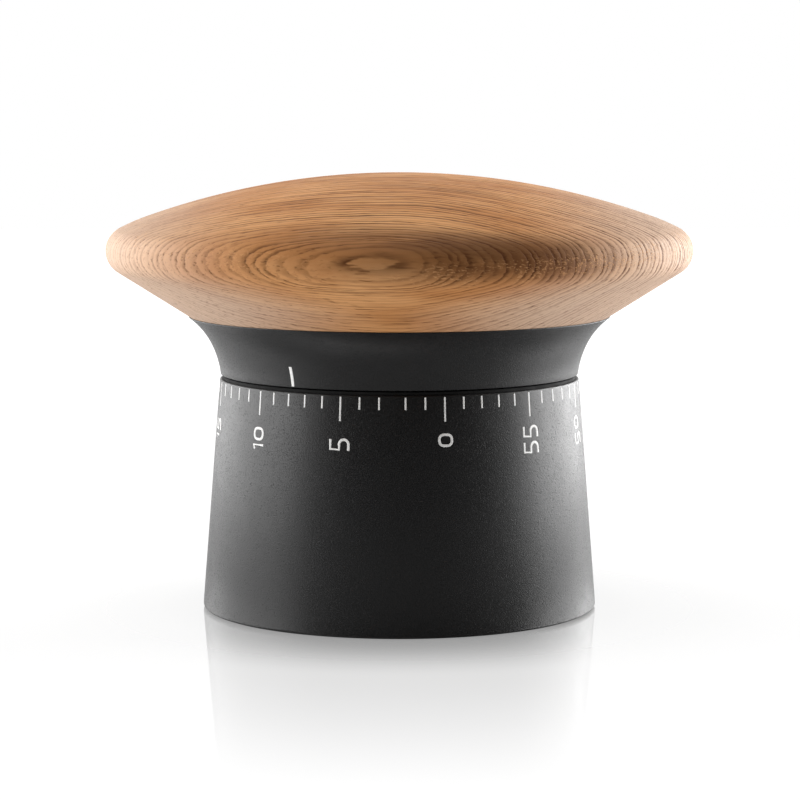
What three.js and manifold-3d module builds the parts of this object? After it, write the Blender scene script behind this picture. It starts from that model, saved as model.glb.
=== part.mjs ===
// A wind-up sixty-minute kitchen timer: a turned oak knob on a flared collar, which turns on a
// tapered round body that holds a spring-driven movement and a bell. Millimetres, +Z up, with the
// origin at the middle of the resting face and the front towards -Y.

import * as THREE from 'three';
import { mergeVertices } from 'three/addons/utils/BufferGeometryUtils.js';
import Module from 'manifold-3d';

const wasm = await Module();
wasm.setup();

// ---- Overall sizes ----
const NECK_RADIUS = 29.2;          // top edge of the tapered body
const BODY_TAPER = 2.9;            // how much wider the body is at its foot
const BODY_HEIGHT = 37.5;          // floor to the top edge of the body
const RIM_RADIUS = 47.5;           // widest radius of the knob
const COLLAR_HEIGHT = 9.4;         // foot of the collar to its top face
const TURNING_GAP = 0.7;           // open line between body and collar

// ---- Knob ----
const COLLAR_FLARE = 5.15;         // how much wider the collar is at its top
const COLLAR_INSET = 0.15;         // collar foot inside the body's top edge
const COLLAR_WALL = 1.8;
const COLLAR_WEB = 2.0;            // plate across the top of the collar
const FLARE_FOOT_RISE = 6.1;       // height at which the flare's two tangents cross
const FLARE_LEAN = 0.86;           // how far out they cross
const KNOB_STEP = 0.2;             // knob foot inside the collar's top edge
const UNDER_SLOPE = 32.35;         // degrees from level, under the knob
const RIM_ROUND = 3.9;
const SHOULDER_RADIUS = 33.7;
const SHOULDER_SLOPE = 27.5;       // degrees, where the shoulder runs into the rim
const DOME_RISE = 12.4;            // widest line to the crown
const HUB_RADIUS = 5.0;
const HUB_LENGTH = 5.0;
const HUB_WALL = 2.0;
const KNOB_SCREW_CIRCLE = 17.0;
const KNOB_SCREW_DEPTH = 7.0;      // into the oak

// ---- Body ----
const WALL = 2.2;
const FOOT_EDGE = 0.6;             // rounding at the foot of the body
const NECK_EDGE = 0.25;            // broken edge at the top of the body
const BODY_LIFT = 0.1;             // body above the surface that the foot ring stands on
const DECK_DROP = 1.0;             // deck below the top edge
const DECK_THICKNESS = 2.2;
const GUIDE_RING_INSET = 2.6;
const GUIDE_RING_WALL = 1.2;
const GUIDE_RING_RISE = 2.5;
const WASHER_INSET = 0.2;          // glide washer inside the flat of the top edge
const WASHER_THICKNESS = 0.5;
const COVER_TOP = 3.2;
const COVER_THICKNESS = 2.0;
const COVER_LEDGE = 1.2;
const COVER_FIT = 0.25;
const REBATE_STEP = 0.7;           // rebate for the cover, inside the wall
const POST_RADIUS = 2.2;           // screw posts for the cover
const POST_HEIGHT = 6.8;
const POST_WEB = 2.0;
const COVER_SCREW_SEAT = 0.8;      // seat of the screw heads below the cover's top
const COVER_SCREW_GRIP = 5.2;
const FOOT_RING_WIDTH = 1.8;
const FOOT_RING_INSET = 0.95;
const FOOT_RING_GROOVE = 0.7;
const FOOT_RING_SHOULDER = 0.4;    // between the groove and the screw heads
const SOUND_SLOTS = 6;
const SOUND_SLOT_RADIUS = 12.0;
const SOUND_SLOT_LENGTH = 8.0;
const SOUND_SLOT_WIDTH = 2.0;
const BUSH_RADIUS = 4.2;
const BUSH_FLANGE = 6.0;
const BUSH_FLANGE_THICKNESS = 0.8;
const BUSH_TAIL = 0.6;

// ---- Movement ----
const PLATE_CLEARANCE = 3.0;       // plates to the inside of the wall
const PLATE_THICKNESS = 1.2;
const PLATE_GAP = 15.8;            // between the plates
const MOVEMENT_DROP = 3.1;         // deck to the top plate
const MOUNT_BOSS_RADIUS = 3.0;
const MOUNT_EDGE = 3.5;            // mounting screw to the plate's edge
const PILLAR_RADIUS = 1.9;
const PILLAR_EDGE = 2.8;           // pillar centre to the plate's edge
const SPIGOT_RADIUS = 1.1;
const NUT_RADIUS = 2.2;
const NUT_HEIGHT = 1.2;
const ARBOR_RADIUS = 0.75;
const PIVOT_RADIUS = 0.55;
const END_SHAKE = 0.15;
const MAIN_ARBOR_RADIUS = 2.2;
const MAIN_NECK_RADIUS = 1.9;      // through the top plate and the bush
const MAIN_PIVOT_RADIUS = 1.6;     // through the bottom plate
const SQUARE_SIDE = 2.6;           // squared end that the hub turns
const FLANGE_RADIUS = 5.0;
const FLANGE_THICKNESS = 0.8;
const SPIGOT_END = 0.2;            // pillar spigot past its nut
const CLUTCH_CLIP_RADIUS = 3.6;
const CLUTCH_CLIP_THICKNESS = 0.6;
const CLUTCH_CLIP_DROP = 1.0;      // below the great wheel
const CLUTCH_SPRING_SEAT = 3.2;
const CLUTCH_SPRING_RADIUS = 6.4;
const CLUTCH_SPRING_RISE = 0.6;
const CLUTCH_SPRING_THICKNESS = 0.35;
const SPOKE_WIDTH = 1.4;
const WHEEL_RIM = 1.2;
const WHEEL_SEAT = 0.5;            // width and height of the shoulder under a wheel
const LEAF_OVERRUN = 0.4;          // pinion leaves below the wheel that drives them
const TRAIN_START = 90;            // degrees, second arbor about the middle

const GREAT = { teeth: 60, module: 0.38, level: 6.4, thickness: 1.2, hub: 7.2 };
const SECOND = { teeth: 48, leaves: 10, module: 0.34, level: 8.9, thickness: 1.0, hub: 2.6 };
const THIRD = { teeth: 42, leaves: 8, module: 0.32, level: 10.9, thickness: 1.0, hub: 2.4 };
const ESCAPE = { teeth: 15, leaves: 7, tip: 4.3, root: 3.2, level: 13.1, thickness: 1.0 };
const THIRD_RING = 3.5;            // arbor outside the great wheel's tips
const ESCAPE_RING = 4.5;
const LEVER_RING = 5.0;
const BALANCE_RING = 2.6;

const LEVER_REACH = 7.0;           // escape arbor to lever arbor
const LEVER_LEVEL = 14.5;
const LEVER_THICKNESS = 0.7;
const PALLET_RADIUS = 5.75;        // pallet pins from the escape arbor
const PALLET_SPREAD = 55;          // degrees either side of the line to the lever
const PALLET_PIN = 0.3;
const BALANCE_REACH = 12.0;        // lever arbor to balance staff
const IMPULSE_RADIUS = 2.0;
const IMPULSE_PIN = 0.4;
const FORK_PLAY = 0.3;
const STAFF_RADIUS = 0.7;
const BALANCE_RADIUS = 7.0;
const BALANCE_RIM = 1.4;
const BALANCE_LEVEL = 8.8;
const BALANCE_THICKNESS = 1.6;
const ROLLER_RADIUS = 2.9;
const HAIRSPRING_LEVEL = 11.2;
const HAIRSPRING_OUTER = 4.6;
const STUD_RADIUS = 0.9;
const STUD_SPARE = 0.15;

const MAINSPRING_LEVEL = 0.8;
const MAINSPRING_HEIGHT = 3.6;
const MAINSPRING_OUTER = 11.2;
const MAINSPRING_STRIP = 0.4;

// ---- Bell and hammer, below the bottom plate ----
const BELL_RADIUS = 20.0;
const BELL_DEPTH = 6.4;
const BELL_WALL = 0.8;
const BELL_DROP = 2.2;             // plate to the bell's mouth
const BELL_SEAT = 5.0;
const BRIDGE_SPAN = 9.0;
const BRIDGE_ANGLE = 150;
const BRIDGE_DROP = 2.8;           // plate to the bridge's upper face
const BRIDGE_THICKNESS = 1.0;
const BRIDGE_WIDTH = 3.6;
const BRIDGE_CLEARANCE = 0.4;
const BRIDGE_POST_RADIUS = 2.6;
const CAM_RADIUS = 4.5;
const CAM_DROP = 0.4;
const CAM_THICKNESS = 1.3;
const HAMMER_PIVOT_ANGLE = 200;
const HAMMER_PIVOT_INSET = 0.6;    // pivot nearer the middle than the head
const HAMMER_HEAD_ANGLE = 250;
const HAMMER_REST_GAP = 1.5;       // hammer head to the bell, at rest
const HAMMER_HEAD_RADIUS = 1.5;
const HAMMER_HEAD_LENGTH = 3.9;
const HAMMER_DROP = 0.5;
const HAMMER_THICKNESS = 1.2;
const HAMMER_ARM = 1.6;
const CAM_FOLLOWER_GAP = 0.7;

// ---- Fasteners and fits ----
const SCREW_SHANK = 1.1;
const SCREW_HEAD = 2.0;
const SCREW_HEAD_HEIGHT = 1.2;
const SLOT_WIDTH = 0.5;
const SLOT_DEPTH = 0.5;
const FIT = 0.05;                  // pieces that turn together
const BORE_MERGE = 0.5;            // joined pieces run this far into one another
const RUNNING = 0.2;               // pieces that turn in one another
const CLEAR = 0.3;                 // pieces that only pass one another
const ROUND = 40;                  // facets round a large piece
const SMALL = 12;                  // facets round a small piece
const FINE = 10;                   // facets round a pivot

// ---- Heights worked out from the sizes above ----
const collarFoot = BODY_HEIGHT + TURNING_GAP;
const collarTop = collarFoot + COLLAR_HEIGHT;
const webUnder = collarTop - COLLAR_WEB;
const hubFoot = webUnder - HUB_LENGTH;
const deckTop = BODY_HEIGHT - DECK_DROP;
const deckUnder = deckTop - DECK_THICKNESS;
const topPlateTop = deckUnder - MOVEMENT_DROP;
const topPlateUnder = topPlateTop - PLATE_THICKNESS;
const bottomPlateTop = topPlateUnder - PLATE_GAP;
const bottomPlateUnder = bottomPlateTop - PLATE_THICKNESS;
const bellMouth = bottomPlateUnder - BELL_DROP;
const bellFoot = bellMouth - BELL_DEPTH;
const bridgeTop = bottomPlateUnder - BRIDGE_DROP;
const bridgeUnder = bridgeTop - BRIDGE_THICKNESS;
const hammerTop = bottomPlateUnder - HAMMER_DROP;
const hammerUnder = hammerTop - HAMMER_THICKNESS;
const coverUnder = COVER_TOP - COVER_THICKNESS;

// ---- Radii worked out from the sizes above ----
const baseRadius = NECK_RADIUS + BODY_TAPER;
const collarFootRadius = NECK_RADIUS - COLLAR_INSET;
const collarTopRadius = collarFootRadius + COLLAR_FLARE;
const knobFootRadius = collarTopRadius - KNOB_STEP;
const guideRingRadius = NECK_RADIUS - GUIDE_RING_INSET;
const plateRadius = NECK_RADIUS - WALL - PLATE_CLEARANCE;
const pillarCircle = plateRadius - PILLAR_EDGE;
const coverRebate = baseRadius - WALL - REBATE_STEP;
const coverRadius = coverRebate - COVER_FIT;
const footRingOuter = coverRadius - FOOT_RING_INSET;
const footRingInner = footRingOuter - FOOT_RING_WIDTH;
const coverScrewCircle = footRingInner - CLEAR - FOOT_RING_SHOULDER - SCREW_HEAD - CLEAR;
const mountScrewCircle = plateRadius - MOUNT_EDGE;
const screwHole = SCREW_SHANK + CLEAR;
const greatPitch = GREAT.teeth * GREAT.module / 2;
const greatTip = greatPitch + GREAT.module;

// ---- Points, outlines and solids ----
const radians = THREE.MathUtils.degToRad;
const degrees = THREE.MathUtils.radToDeg;

function polar(radius, angle) {
  return new THREE.Vector2(radius * Math.cos(radians(angle)), radius * Math.sin(radians(angle)));
}

function bearing(from, to) {
  return degrees(Math.atan2(to.y - from.y, to.x - from.x));
}

// The angle at the middle between two arms that end a known distance apart.
function angleBetween(armA, armB, apart) {
  return degrees(Math.acos((armA * armA + armB * armB - apart * apart) / (2 * armA * armB)));
}

function arc(centre, radius, from, to, steps) {
  return Array.from({ length: steps + 1 }, (_, i) => {
    const offset = polar(radius, from + (to - from) * i / steps);
    return [centre[0] + offset.x, centre[1] + offset.y];
  });
}

function isClockwise(points) {
  let area = 0;
  points.forEach(([x, y], i) => {
    const [nextX, nextY] = points[(i + 1) % points.length];
    area += x * nextY - nextX * y;
  });
  return area < 0;
}

// A closed solid for cutting and joining, with its shared corners merged.
function solid(geometry) {
  const bare = geometry.clone();
  bare.deleteAttribute('normal');
  bare.deleteAttribute('uv');
  const merged = mergeVertices(bare, 1e-5);
  const index = merged.index.array;
  const corners = [];
  for (let i = 0; i < index.length; i += 3) {
    const [a, b, c] = [index[i], index[i + 1], index[i + 2]];
    if (a !== b && b !== c && c !== a) corners.push(a, b, c);
  }
  return new wasm.Manifold(new wasm.Mesh({
    numProp: 3,
    vertProperties: new Float32Array(merged.attributes.position.array),
    triVerts: new Uint32Array(corners),
  }));
}

function geometryOf(body) {
  const mesh = body.getMesh();
  const geometry = new THREE.BufferGeometry();
  geometry.setAttribute('position', new THREE.BufferAttribute(mesh.vertProperties, 3));
  geometry.setIndex(new THREE.BufferAttribute(mesh.triVerts, 1));
  geometry.computeVertexNormals();
  return geometry;
}

// Turned about +Z from [radius, height] points. A ring's outline closes on itself.
function turned(outline, facets = SMALL) {
  const open = outline[0][0] === 0;
  const ordered = isClockwise(outline) ? [...outline].reverse() : outline;
  const closed = open ? ordered : [...ordered, ordered[0]];
  const points = closed.map(([radius, height]) => new THREE.Vector2(radius, height));
  return solid(new THREE.LatheGeometry(points, facets).rotateX(Math.PI / 2));
}

function rod(radius, from, to, facets = SMALL) {
  return turned([[0, from], [radius, from], [radius, to], [0, to]], facets);
}

// The corner radius of a faceted hole whose flats clear a round of the radius given.
function clearing(radius, facets) {
  return radius / Math.cos(Math.PI / facets);
}

function tube(inner, outer, from, to, facets = SMALL) {
  const bore = clearing(inner, facets);
  return turned([[bore, from], [outer, from], [outer, to], [bore, to]], facets);
}

// A flat plate from [x, y] points, with holes given the same way.
function plate(outline, holes, from, to) {
  const shape = new THREE.Shape(outline.map(([x, y]) => new THREE.Vector2(x, y)));
  shape.holes = holes.map((hole) => new THREE.Path(hole.map(([x, y]) => new THREE.Vector2(x, y))));
  const settings = { depth: to - from, bevelEnabled: false };
  return solid(new THREE.ExtrudeGeometry(shape, settings).translate(0, 0, from));
}

function circle(radius, facets = SMALL, centre = [0, 0]) {
  return arc(centre, radius, 0, 360 * (facets - 1) / facets, facets - 1);
}

function hole(radius, facets = SMALL, centre = [0, 0]) {
  return circle(clearing(radius, facets), facets, centre);
}

// A flat bar between two points, widened by half its width at each end.
function bar(start, end, width, from, to) {
  const length = start.distanceTo(end);
  const box = new THREE.BoxGeometry(length, width, to - from);
  box.translate(length / 2, 0, (from + to) / 2);
  box.rotateZ(Math.atan2(end.y - start.y, end.x - start.x));
  return solid(box.translate(start.x, start.y, 0));
}

function moved(body, point) {
  return body.translate([point.x, point.y, 0]);
}

function joined(bodies) {
  return bodies.reduce((whole, body) => whole.add(body));
}

// A strip wound in a spiral, seen from above.
function spiral(inner, outer, turns, strip, from, to, stepsPerTurn) {
  const steps = turns * stepsPerTurn;
  const side = (offset) => Array.from({ length: steps + 1 }, (_, i) => {
    const point = polar(inner + (outer - inner) * i / steps + offset, 360 * i / stepsPerTurn);
    return [point.x, point.y];
  });
  return plate([...side(strip / 2), ...side(-strip / 2).reverse()], [], from, to);
}

// ---- Gears ----
// Straight-flanked teeth, thin enough to run freely. Tooth 0 points along +X.
function gearOutline(teeth, module, { addendum, dedendum, tipShare, rootShare }) {
  const pitch = 360 / teeth;
  const pitchRadius = teeth * module / 2;
  const tip = pitchRadius + addendum * module;
  const root = pitchRadius - dedendum * module;
  return Array.from({ length: teeth }, (_, i) => [
    polar(root, (i - rootShare / 2) * pitch),
    polar(tip, (i - tipShare / 2) * pitch),
    polar(tip, (i + tipShare / 2) * pitch),
    polar(root, (i + rootShare / 2) * pitch),
  ]).flat().map((point) => [point.x, point.y]);
}

const WHEEL_TEETH = { addendum: 0.8, dedendum: 1.2, tipShare: 0.22, rootShare: 0.52 };
const PINION_LEAVES = { addendum: 0.6, dedendum: 1.2, tipShare: 0.16, rootShare: 0.46 };

// Windows between the spokes of a wheel.
function windows(count, inner, outer, spoke) {
  return Array.from({ length: count }, (_, i) => {
    const middle = 360 * i / count;
    const halfOuter = 180 / count - degrees(spoke / 2 / outer);
    const halfInner = 180 / count - degrees(spoke / 2 / inner);
    const outerArc = arc([0, 0], outer, middle - halfOuter, middle + halfOuter, 4);
    const innerArc = arc([0, 0], inner, middle + halfInner, middle - halfInner, 2);
    return [...outerArc, ...innerArc];
  });
}

// Where a driven gear's tooth 0 points, so that its gap meets the driver's tooth.
function meshAngle(driverAngle, driverTeeth, lineAngle, drivenTeeth) {
  const turn = (driverAngle - lineAngle) * driverTeeth / drivenTeeth;
  return lineAngle + 180 + 180 / drivenTeeth - turn;
}

// ---- Where the arbors stand ----
const centreDistance = {
  second: (GREAT.teeth + SECOND.leaves) * GREAT.module / 2,
  third: (SECOND.teeth + THIRD.leaves) * SECOND.module / 2,
  escape: (THIRD.teeth + ESCAPE.leaves) * THIRD.module / 2,
};

function nextOnRing(previous, ring, apart) {
  const angle = previous.angle - angleBetween(previous.ring, ring, apart);
  return { ring, angle, point: polar(ring, angle) };
}

const middle = { ring: 0, angle: 0, point: new THREE.Vector2(0, 0) };
const second = {
  ring: centreDistance.second,
  angle: TRAIN_START,
  point: polar(centreDistance.second, TRAIN_START),
};
const third = nextOnRing(second, greatTip + THIRD_RING, centreDistance.third);
const escapement = nextOnRing(third, greatTip + ESCAPE_RING, centreDistance.escape);
const lever = nextOnRing(escapement, greatTip + LEVER_RING, LEVER_REACH);
const balance = nextOnRing(lever, greatTip + BALANCE_RING, BALANCE_REACH);

const pillarAngles = [lever.angle - 14, TRAIN_START + 35, TRAIN_START + 150];
const mountAngles = [60, 180, 300];
const coverScrewAngles = [30, 150, 270];
const knobScrewAngles = [30, 150, 270];

const studReach = HAIRSPRING_OUTER + STUD_RADIUS + CLEAR + STUD_SPARE;
const studPoint = polar(studReach, bearing(lever.point, balance.point)).add(balance.point);
const headDepth = (bellMouth - hammerTop + HAMMER_HEAD_LENGTH) / (BELL_DEPTH - BELL_WALL);
const bellInnerAtHead = (BELL_RADIUS - BELL_WALL) * Math.sqrt(1 - headDepth ** 2);
const headCircle = bellInnerAtHead - HAMMER_REST_GAP - HAMMER_HEAD_RADIUS;
const hammerHead = polar(headCircle, HAMMER_HEAD_ANGLE);
const hammerPivot = polar(headCircle - HAMMER_PIVOT_INSET, HAMMER_PIVOT_ANGLE);

// ---- Materials ----
function finish(color, roughness, metalness) {
  return new THREE.MeshStandardMaterial({ color, roughness, metalness });
}

const OAK = finish(0xc49a6c, 0.6, 0.0);
const BLACK_PLASTIC = finish(0x2a2a2c, 0.6, 0.0);
const RUBBER = finish(0x1c1c1c, 0.9, 0.0);
const STEEL = finish(0xb4b7bb, 0.35, 1.0);
const BRASS = finish(0xc9a24b, 0.3, 1.0);
const SPRING_STEEL = finish(0x6d7684, 0.3, 1.0);

// ---- Assembly ----
const timer = new THREE.Group();

// One group for each body that moves, so that its pieces share its place and turn.
function assembly(point = middle.point, angle = 0) {
  const group = new THREE.Group();
  group.position.set(point.x, point.y, 0);
  group.rotation.z = radians(angle);
  timer.add(group);
  return group;
}

function piece(group, name, body, material) {
  const mesh = new THREE.Mesh(geometryOf(body), material);
  mesh.name = name;
  group.add(mesh);
}

// A screw that stands head down on a face at the height given, with a driver slot.
function screw(head, headHeight, shank, seat, tip) {
  const under = seat - headHeight;
  const outline = [
    [0, under], [head, under], [head, seat], [shank, seat], [shank, tip - shank], [0, tip],
  ];
  const slot = new THREE.BoxGeometry(3 * head, SLOT_WIDTH, 2 * SLOT_DEPTH).translate(0, 0, under);
  return turned(outline, FINE).subtract(solid(slot));
}

function screwsOn(group, name, circleRadius, angles, body) {
  angles.forEach((angle, i) => {
    piece(group, `${name}_${i + 1}`, moved(body, polar(circleRadius, angle)), STEEL);
  });
}

function drilled(body, radius, from, to, points) {
  const drill = rod(clearing(radius, SMALL), from, to);
  return points.reduce((rest, point) => rest.subtract(moved(drill, point)), body);
}

function onCircle(radius, angles) {
  return angles.map((angle) => polar(radius, angle));
}

// ---- Knob: oak, collar, hub, screws and the arbor that it winds ----
function knobOutline() {
  const contact = polar(RIM_ROUND, UNDER_SLOPE - 90);
  const rimRadius = RIM_RADIUS - RIM_ROUND;
  const underLength = rimRadius + contact.x - knobFootRadius;
  const rimHeight = collarTop + underLength * Math.tan(radians(UNDER_SLOPE)) - contact.y;
  const crown = rimHeight + DOME_RISE;
  const reach = polar(SHOULDER_RADIUS - RIM_ROUND, 90 - SHOULDER_SLOPE);
  const shoulder = [rimRadius - reach.x, rimHeight - reach.y];
  const drop = shoulder[1] - crown;
  const domeRadius = (SHOULDER_RADIUS ** 2 - shoulder[0] ** 2 - drop ** 2) / (2 * (drop + SHOULDER_RADIUS));
  const dome = [0, crown - domeRadius];
  const join = degrees(Math.atan2(shoulder[1] - dome[1], shoulder[0]));
  return [
    [0, collarTop],
    [knobFootRadius, collarTop],
    ...arc([rimRadius, rimHeight], RIM_ROUND, UNDER_SLOPE - 90, 90 - SHOULDER_SLOPE, 6),
    ...arc(shoulder, SHOULDER_RADIUS, 90 - SHOULDER_SLOPE, join, 2).slice(1),
    ...arc(dome, domeRadius, join, 90, 5).slice(1, -1),
    [0, crown],
  ];
}

function flare(steps) {
  const curve = new THREE.QuadraticBezierCurve(
    new THREE.Vector2(collarFootRadius, collarFoot),
    new THREE.Vector2(collarFootRadius + FLARE_LEAN, collarFoot + FLARE_FOOT_RISE),
    new THREE.Vector2(collarTopRadius, collarTop - 0.1),
  );
  return curve.getPoints(steps).map((point) => [point.x, point.y]);
}

function collarBody() {
  const inner = collarFootRadius - COLLAR_WALL;
  const bossRadius = HUB_RADIUS + FIT + HUB_WALL;
  const shell = turned([
    [0, collarTop], [0, webUnder], [bossRadius, webUnder], [inner + COLLAR_WALL, webUnder],
    [inner, webUnder - 2 * COLLAR_WALL], [inner, collarFoot],
    ...flare(7), [collarTopRadius, collarTop],
  ].reverse(), ROUND);
  const boss = tube(HUB_RADIUS + FIT, bossRadius, hubFoot, webUnder + FIT, 24);
  return drilled(shell.add(boss), screwHole, webUnder - 1, collarTop + 1,
    onCircle(KNOB_SCREW_CIRCLE, knobScrewAngles));
}

function squareHole(side) {
  const half = side / 2;
  return [[-half, -half], [half, -half], [half, half], [-half, half]];
}

function mainArbor() {
  const low = bottomPlateTop + END_SHAKE;
  const high = topPlateUnder - END_SHAKE;
  const flangeFoot = bottomPlateTop + GREAT.level + GREAT.thickness + FIT;
  const flangeTop = flangeFoot + FLANGE_THICKNESS;
  const foot = bridgeTop + CLEAR + BRIDGE_CLEARANCE;
  const shaft = turned([
    [0, foot], [MAIN_PIVOT_RADIUS, foot], [MAIN_PIVOT_RADIUS, low],
    [MAIN_ARBOR_RADIUS, low], [MAIN_ARBOR_RADIUS, flangeFoot], [FLANGE_RADIUS, flangeFoot],
    [FLANGE_RADIUS, flangeTop], [MAIN_ARBOR_RADIUS, flangeTop], [MAIN_ARBOR_RADIUS, high],
    [MAIN_NECK_RADIUS, high], [MAIN_NECK_RADIUS, hubFoot], [0, hubFoot],
  ], 24);
  const squareTop = webUnder - CLEAR;
  const length = squareTop - hubFoot + 1;
  const square = new THREE.BoxGeometry(SQUARE_SIDE, SQUARE_SIDE, length);
  return shaft.add(solid(square.translate(0, 0, squareTop - length / 2)));
}

function tripCam() {
  const top = bottomPlateUnder - CAM_DROP;
  const disc = tube(MAIN_PIVOT_RADIUS + FIT, CAM_RADIUS, top - CAM_THICKNESS, top, 24);
  const notch = new THREE.BoxGeometry(CAM_RADIUS, 2.2, CAM_THICKNESS + 1);
  return disc.subtract(solid(notch.translate(CAM_RADIUS + 0.9, 0, top - CAM_THICKNESS / 2)));
}

function buildKnob() {
  const knob = assembly();
  const wood = drilled(turned(knobOutline(), ROUND), screwHole, collarTop - 1,
    collarTop + KNOB_SCREW_DEPTH + CLEAR, onCircle(KNOB_SCREW_CIRCLE, knobScrewAngles));
  piece(knob, 'wooden_knob', wood, OAK);
  piece(knob, 'knob_collar', collarBody(), BLACK_PLASTIC);
  const hub = plate(circle(HUB_RADIUS, 24), [squareHole(SQUARE_SIDE + 2 * FIT)], hubFoot, webUnder);
  piece(knob, 'hub_insert', hub, BRASS);
  const fixing = screw(SCREW_HEAD, SCREW_HEAD_HEIGHT, SCREW_SHANK, webUnder, collarTop + KNOB_SCREW_DEPTH);
  screwsOn(knob, 'knob_screw', KNOB_SCREW_CIRCLE, knobScrewAngles, fixing);
  piece(knob, 'winding_arbor', mainArbor(), STEEL);
  piece(knob, 'trip_cam', tripCam(), BRASS);
  const bore = MAIN_ARBOR_RADIUS + FIT;
  const clipTop = bottomPlateTop + GREAT.level - CLUTCH_CLIP_DROP;
  const clip = tube(bore, CLUTCH_CLIP_RADIUS, clipTop - CLUTCH_CLIP_THICKNESS, clipTop, 20);
  piece(knob, 'clutch_clip', clip, STEEL);
  const washerRim = clipTop + CLUTCH_SPRING_RISE;
  const washer = turned([
    [bore, clipTop], [CLUTCH_SPRING_SEAT, clipTop], [CLUTCH_SPRING_RADIUS, washerRim],
    [CLUTCH_SPRING_RADIUS, washerRim + CLUTCH_SPRING_THICKNESS], [bore, clipTop + CLUTCH_SPRING_THICKNESS],
  ], 24);
  piece(knob, 'clutch_spring', washer, SPRING_STEEL);
}

// ---- Body: shell, bush, cover and foot ----
function shellBody() {
  const slope = (baseRadius - NECK_RADIUS) / (BODY_HEIGHT - BODY_LIFT);
  const wallAt = (height) => baseRadius - slope * (height - BODY_LIFT) - WALL;
  const ledgeRadius = coverRebate - COVER_LEDGE;
  const guideTop = BODY_HEIGHT + GUIDE_RING_RISE;
  const guideInner = guideRingRadius - GUIDE_RING_WALL;
  const edge = arc([baseRadius - FOOT_EDGE, BODY_LIFT + FOOT_EDGE], FOOT_EDGE, -90, 0, 3);
  const shell = turned([
    [coverRebate, BODY_LIFT], ...edge, [NECK_RADIUS, BODY_HEIGHT - NECK_EDGE],
    [NECK_RADIUS - NECK_EDGE, BODY_HEIGHT],
    [guideRingRadius, BODY_HEIGHT], [guideRingRadius, guideTop], [guideInner, guideTop],
    [guideInner, deckTop], [BUSH_RADIUS + FIT, deckTop], [BUSH_RADIUS + FIT, deckUnder],
    [wallAt(deckUnder), deckUnder], [wallAt(COVER_TOP + 1.6), COVER_TOP + 1.6],
    [ledgeRadius, COVER_TOP + 1.0], [ledgeRadius, COVER_TOP], [coverRebate, COVER_TOP],
  ], ROUND);
  const bosses = onCircle(mountScrewCircle, mountAngles)
    .map((point) => moved(rod(MOUNT_BOSS_RADIUS, topPlateTop, deckUnder + BORE_MERGE), point));
  const posts = coverScrewAngles.flatMap((angle) => {
    const centre = polar(coverScrewCircle, angle);
    const post = moved(rod(POST_RADIUS, COVER_TOP, COVER_TOP + POST_HEIGHT), centre);
    const wall = polar(ledgeRadius + COVER_LEDGE, angle);
    const web = bar(centre, wall, POST_WEB, COVER_TOP, COVER_TOP + POST_HEIGHT);
    return [post, web];
  });
  const whole = joined([shell, ...bosses, ...posts]);
  const mountHoles = onCircle(mountScrewCircle, mountAngles);
  const coverHoles = onCircle(coverScrewCircle, coverScrewAngles);
  const bored = drilled(whole, screwHole, topPlateTop - 1, deckUnder + 0.2, mountHoles);
  return drilled(bored, screwHole, COVER_TOP - 1, COVER_TOP + POST_HEIGHT - 1, coverHoles);
}

function coverBody() {
  const groove = coverUnder + FOOT_RING_GROOVE;
  const disc = turned([
    [0, coverUnder], [footRingInner - CLEAR, coverUnder], [footRingInner - CLEAR, groove],
    [footRingOuter + CLEAR, groove], [footRingOuter + CLEAR, coverUnder], [coverRadius, coverUnder],
    [coverRadius, COVER_TOP], [0, COVER_TOP],
  ], ROUND);
  const holes = onCircle(coverScrewCircle, coverScrewAngles);
  const through = drilled(disc, screwHole, coverUnder - 1, COVER_TOP + 1, holes);
  const sunk = drilled(through, SCREW_HEAD + CLEAR, coverUnder - 1, COVER_TOP - COVER_SCREW_SEAT, holes);
  return Array.from({ length: SOUND_SLOTS }, (_, i) => {
    const angle = 360 * (i + 0.5) / SOUND_SLOTS;
    const inner = polar(SOUND_SLOT_RADIUS - SOUND_SLOT_LENGTH / 2, angle);
    const outer = polar(SOUND_SLOT_RADIUS + SOUND_SLOT_LENGTH / 2, angle);
    return bar(inner, outer, SOUND_SLOT_WIDTH, coverUnder - 1, COVER_TOP + 1);
  }).reduce((rest, slot) => rest.subtract(slot), sunk);
}

function buildBody() {
  const body = assembly();
  piece(body, 'body_shell', shellBody(), BLACK_PLASTIC);
  piece(body, 'bottom_cover', coverBody(), BLACK_PLASTIC);
  const foot = tube(footRingInner, footRingOuter, 0, coverUnder + FOOT_RING_GROOVE, ROUND);
  piece(body, 'foot_ring', foot, RUBBER);
  const washerOuter = NECK_RADIUS - NECK_EDGE - WASHER_INSET;
  const washerTop = BODY_HEIGHT + WASHER_THICKNESS;
  const washer = tube(guideRingRadius + CLEAR, washerOuter, BODY_HEIGHT, washerTop, ROUND);
  piece(body, 'glide_washer', washer, RUBBER);
  const seat = COVER_TOP - COVER_SCREW_SEAT;
  const coverScrew = screw(SCREW_HEAD, 1.0, SCREW_SHANK, seat, COVER_TOP + COVER_SCREW_GRIP);
  screwsOn(body, 'cover_screw', coverScrewCircle, coverScrewAngles, coverScrew);
  const bore = MAIN_NECK_RADIUS + RUNNING;
  const bushTop = deckTop + BUSH_FLANGE_THICKNESS;
  const bush = turned([
    [bore, deckUnder - BUSH_TAIL], [BUSH_RADIUS, deckUnder - BUSH_TAIL], [BUSH_RADIUS, deckTop],
    [BUSH_FLANGE, deckTop], [BUSH_FLANGE, bushTop], [bore, bushTop],
  ], 24);
  piece(body, 'deck_bush', bush, BRASS);
}

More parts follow.
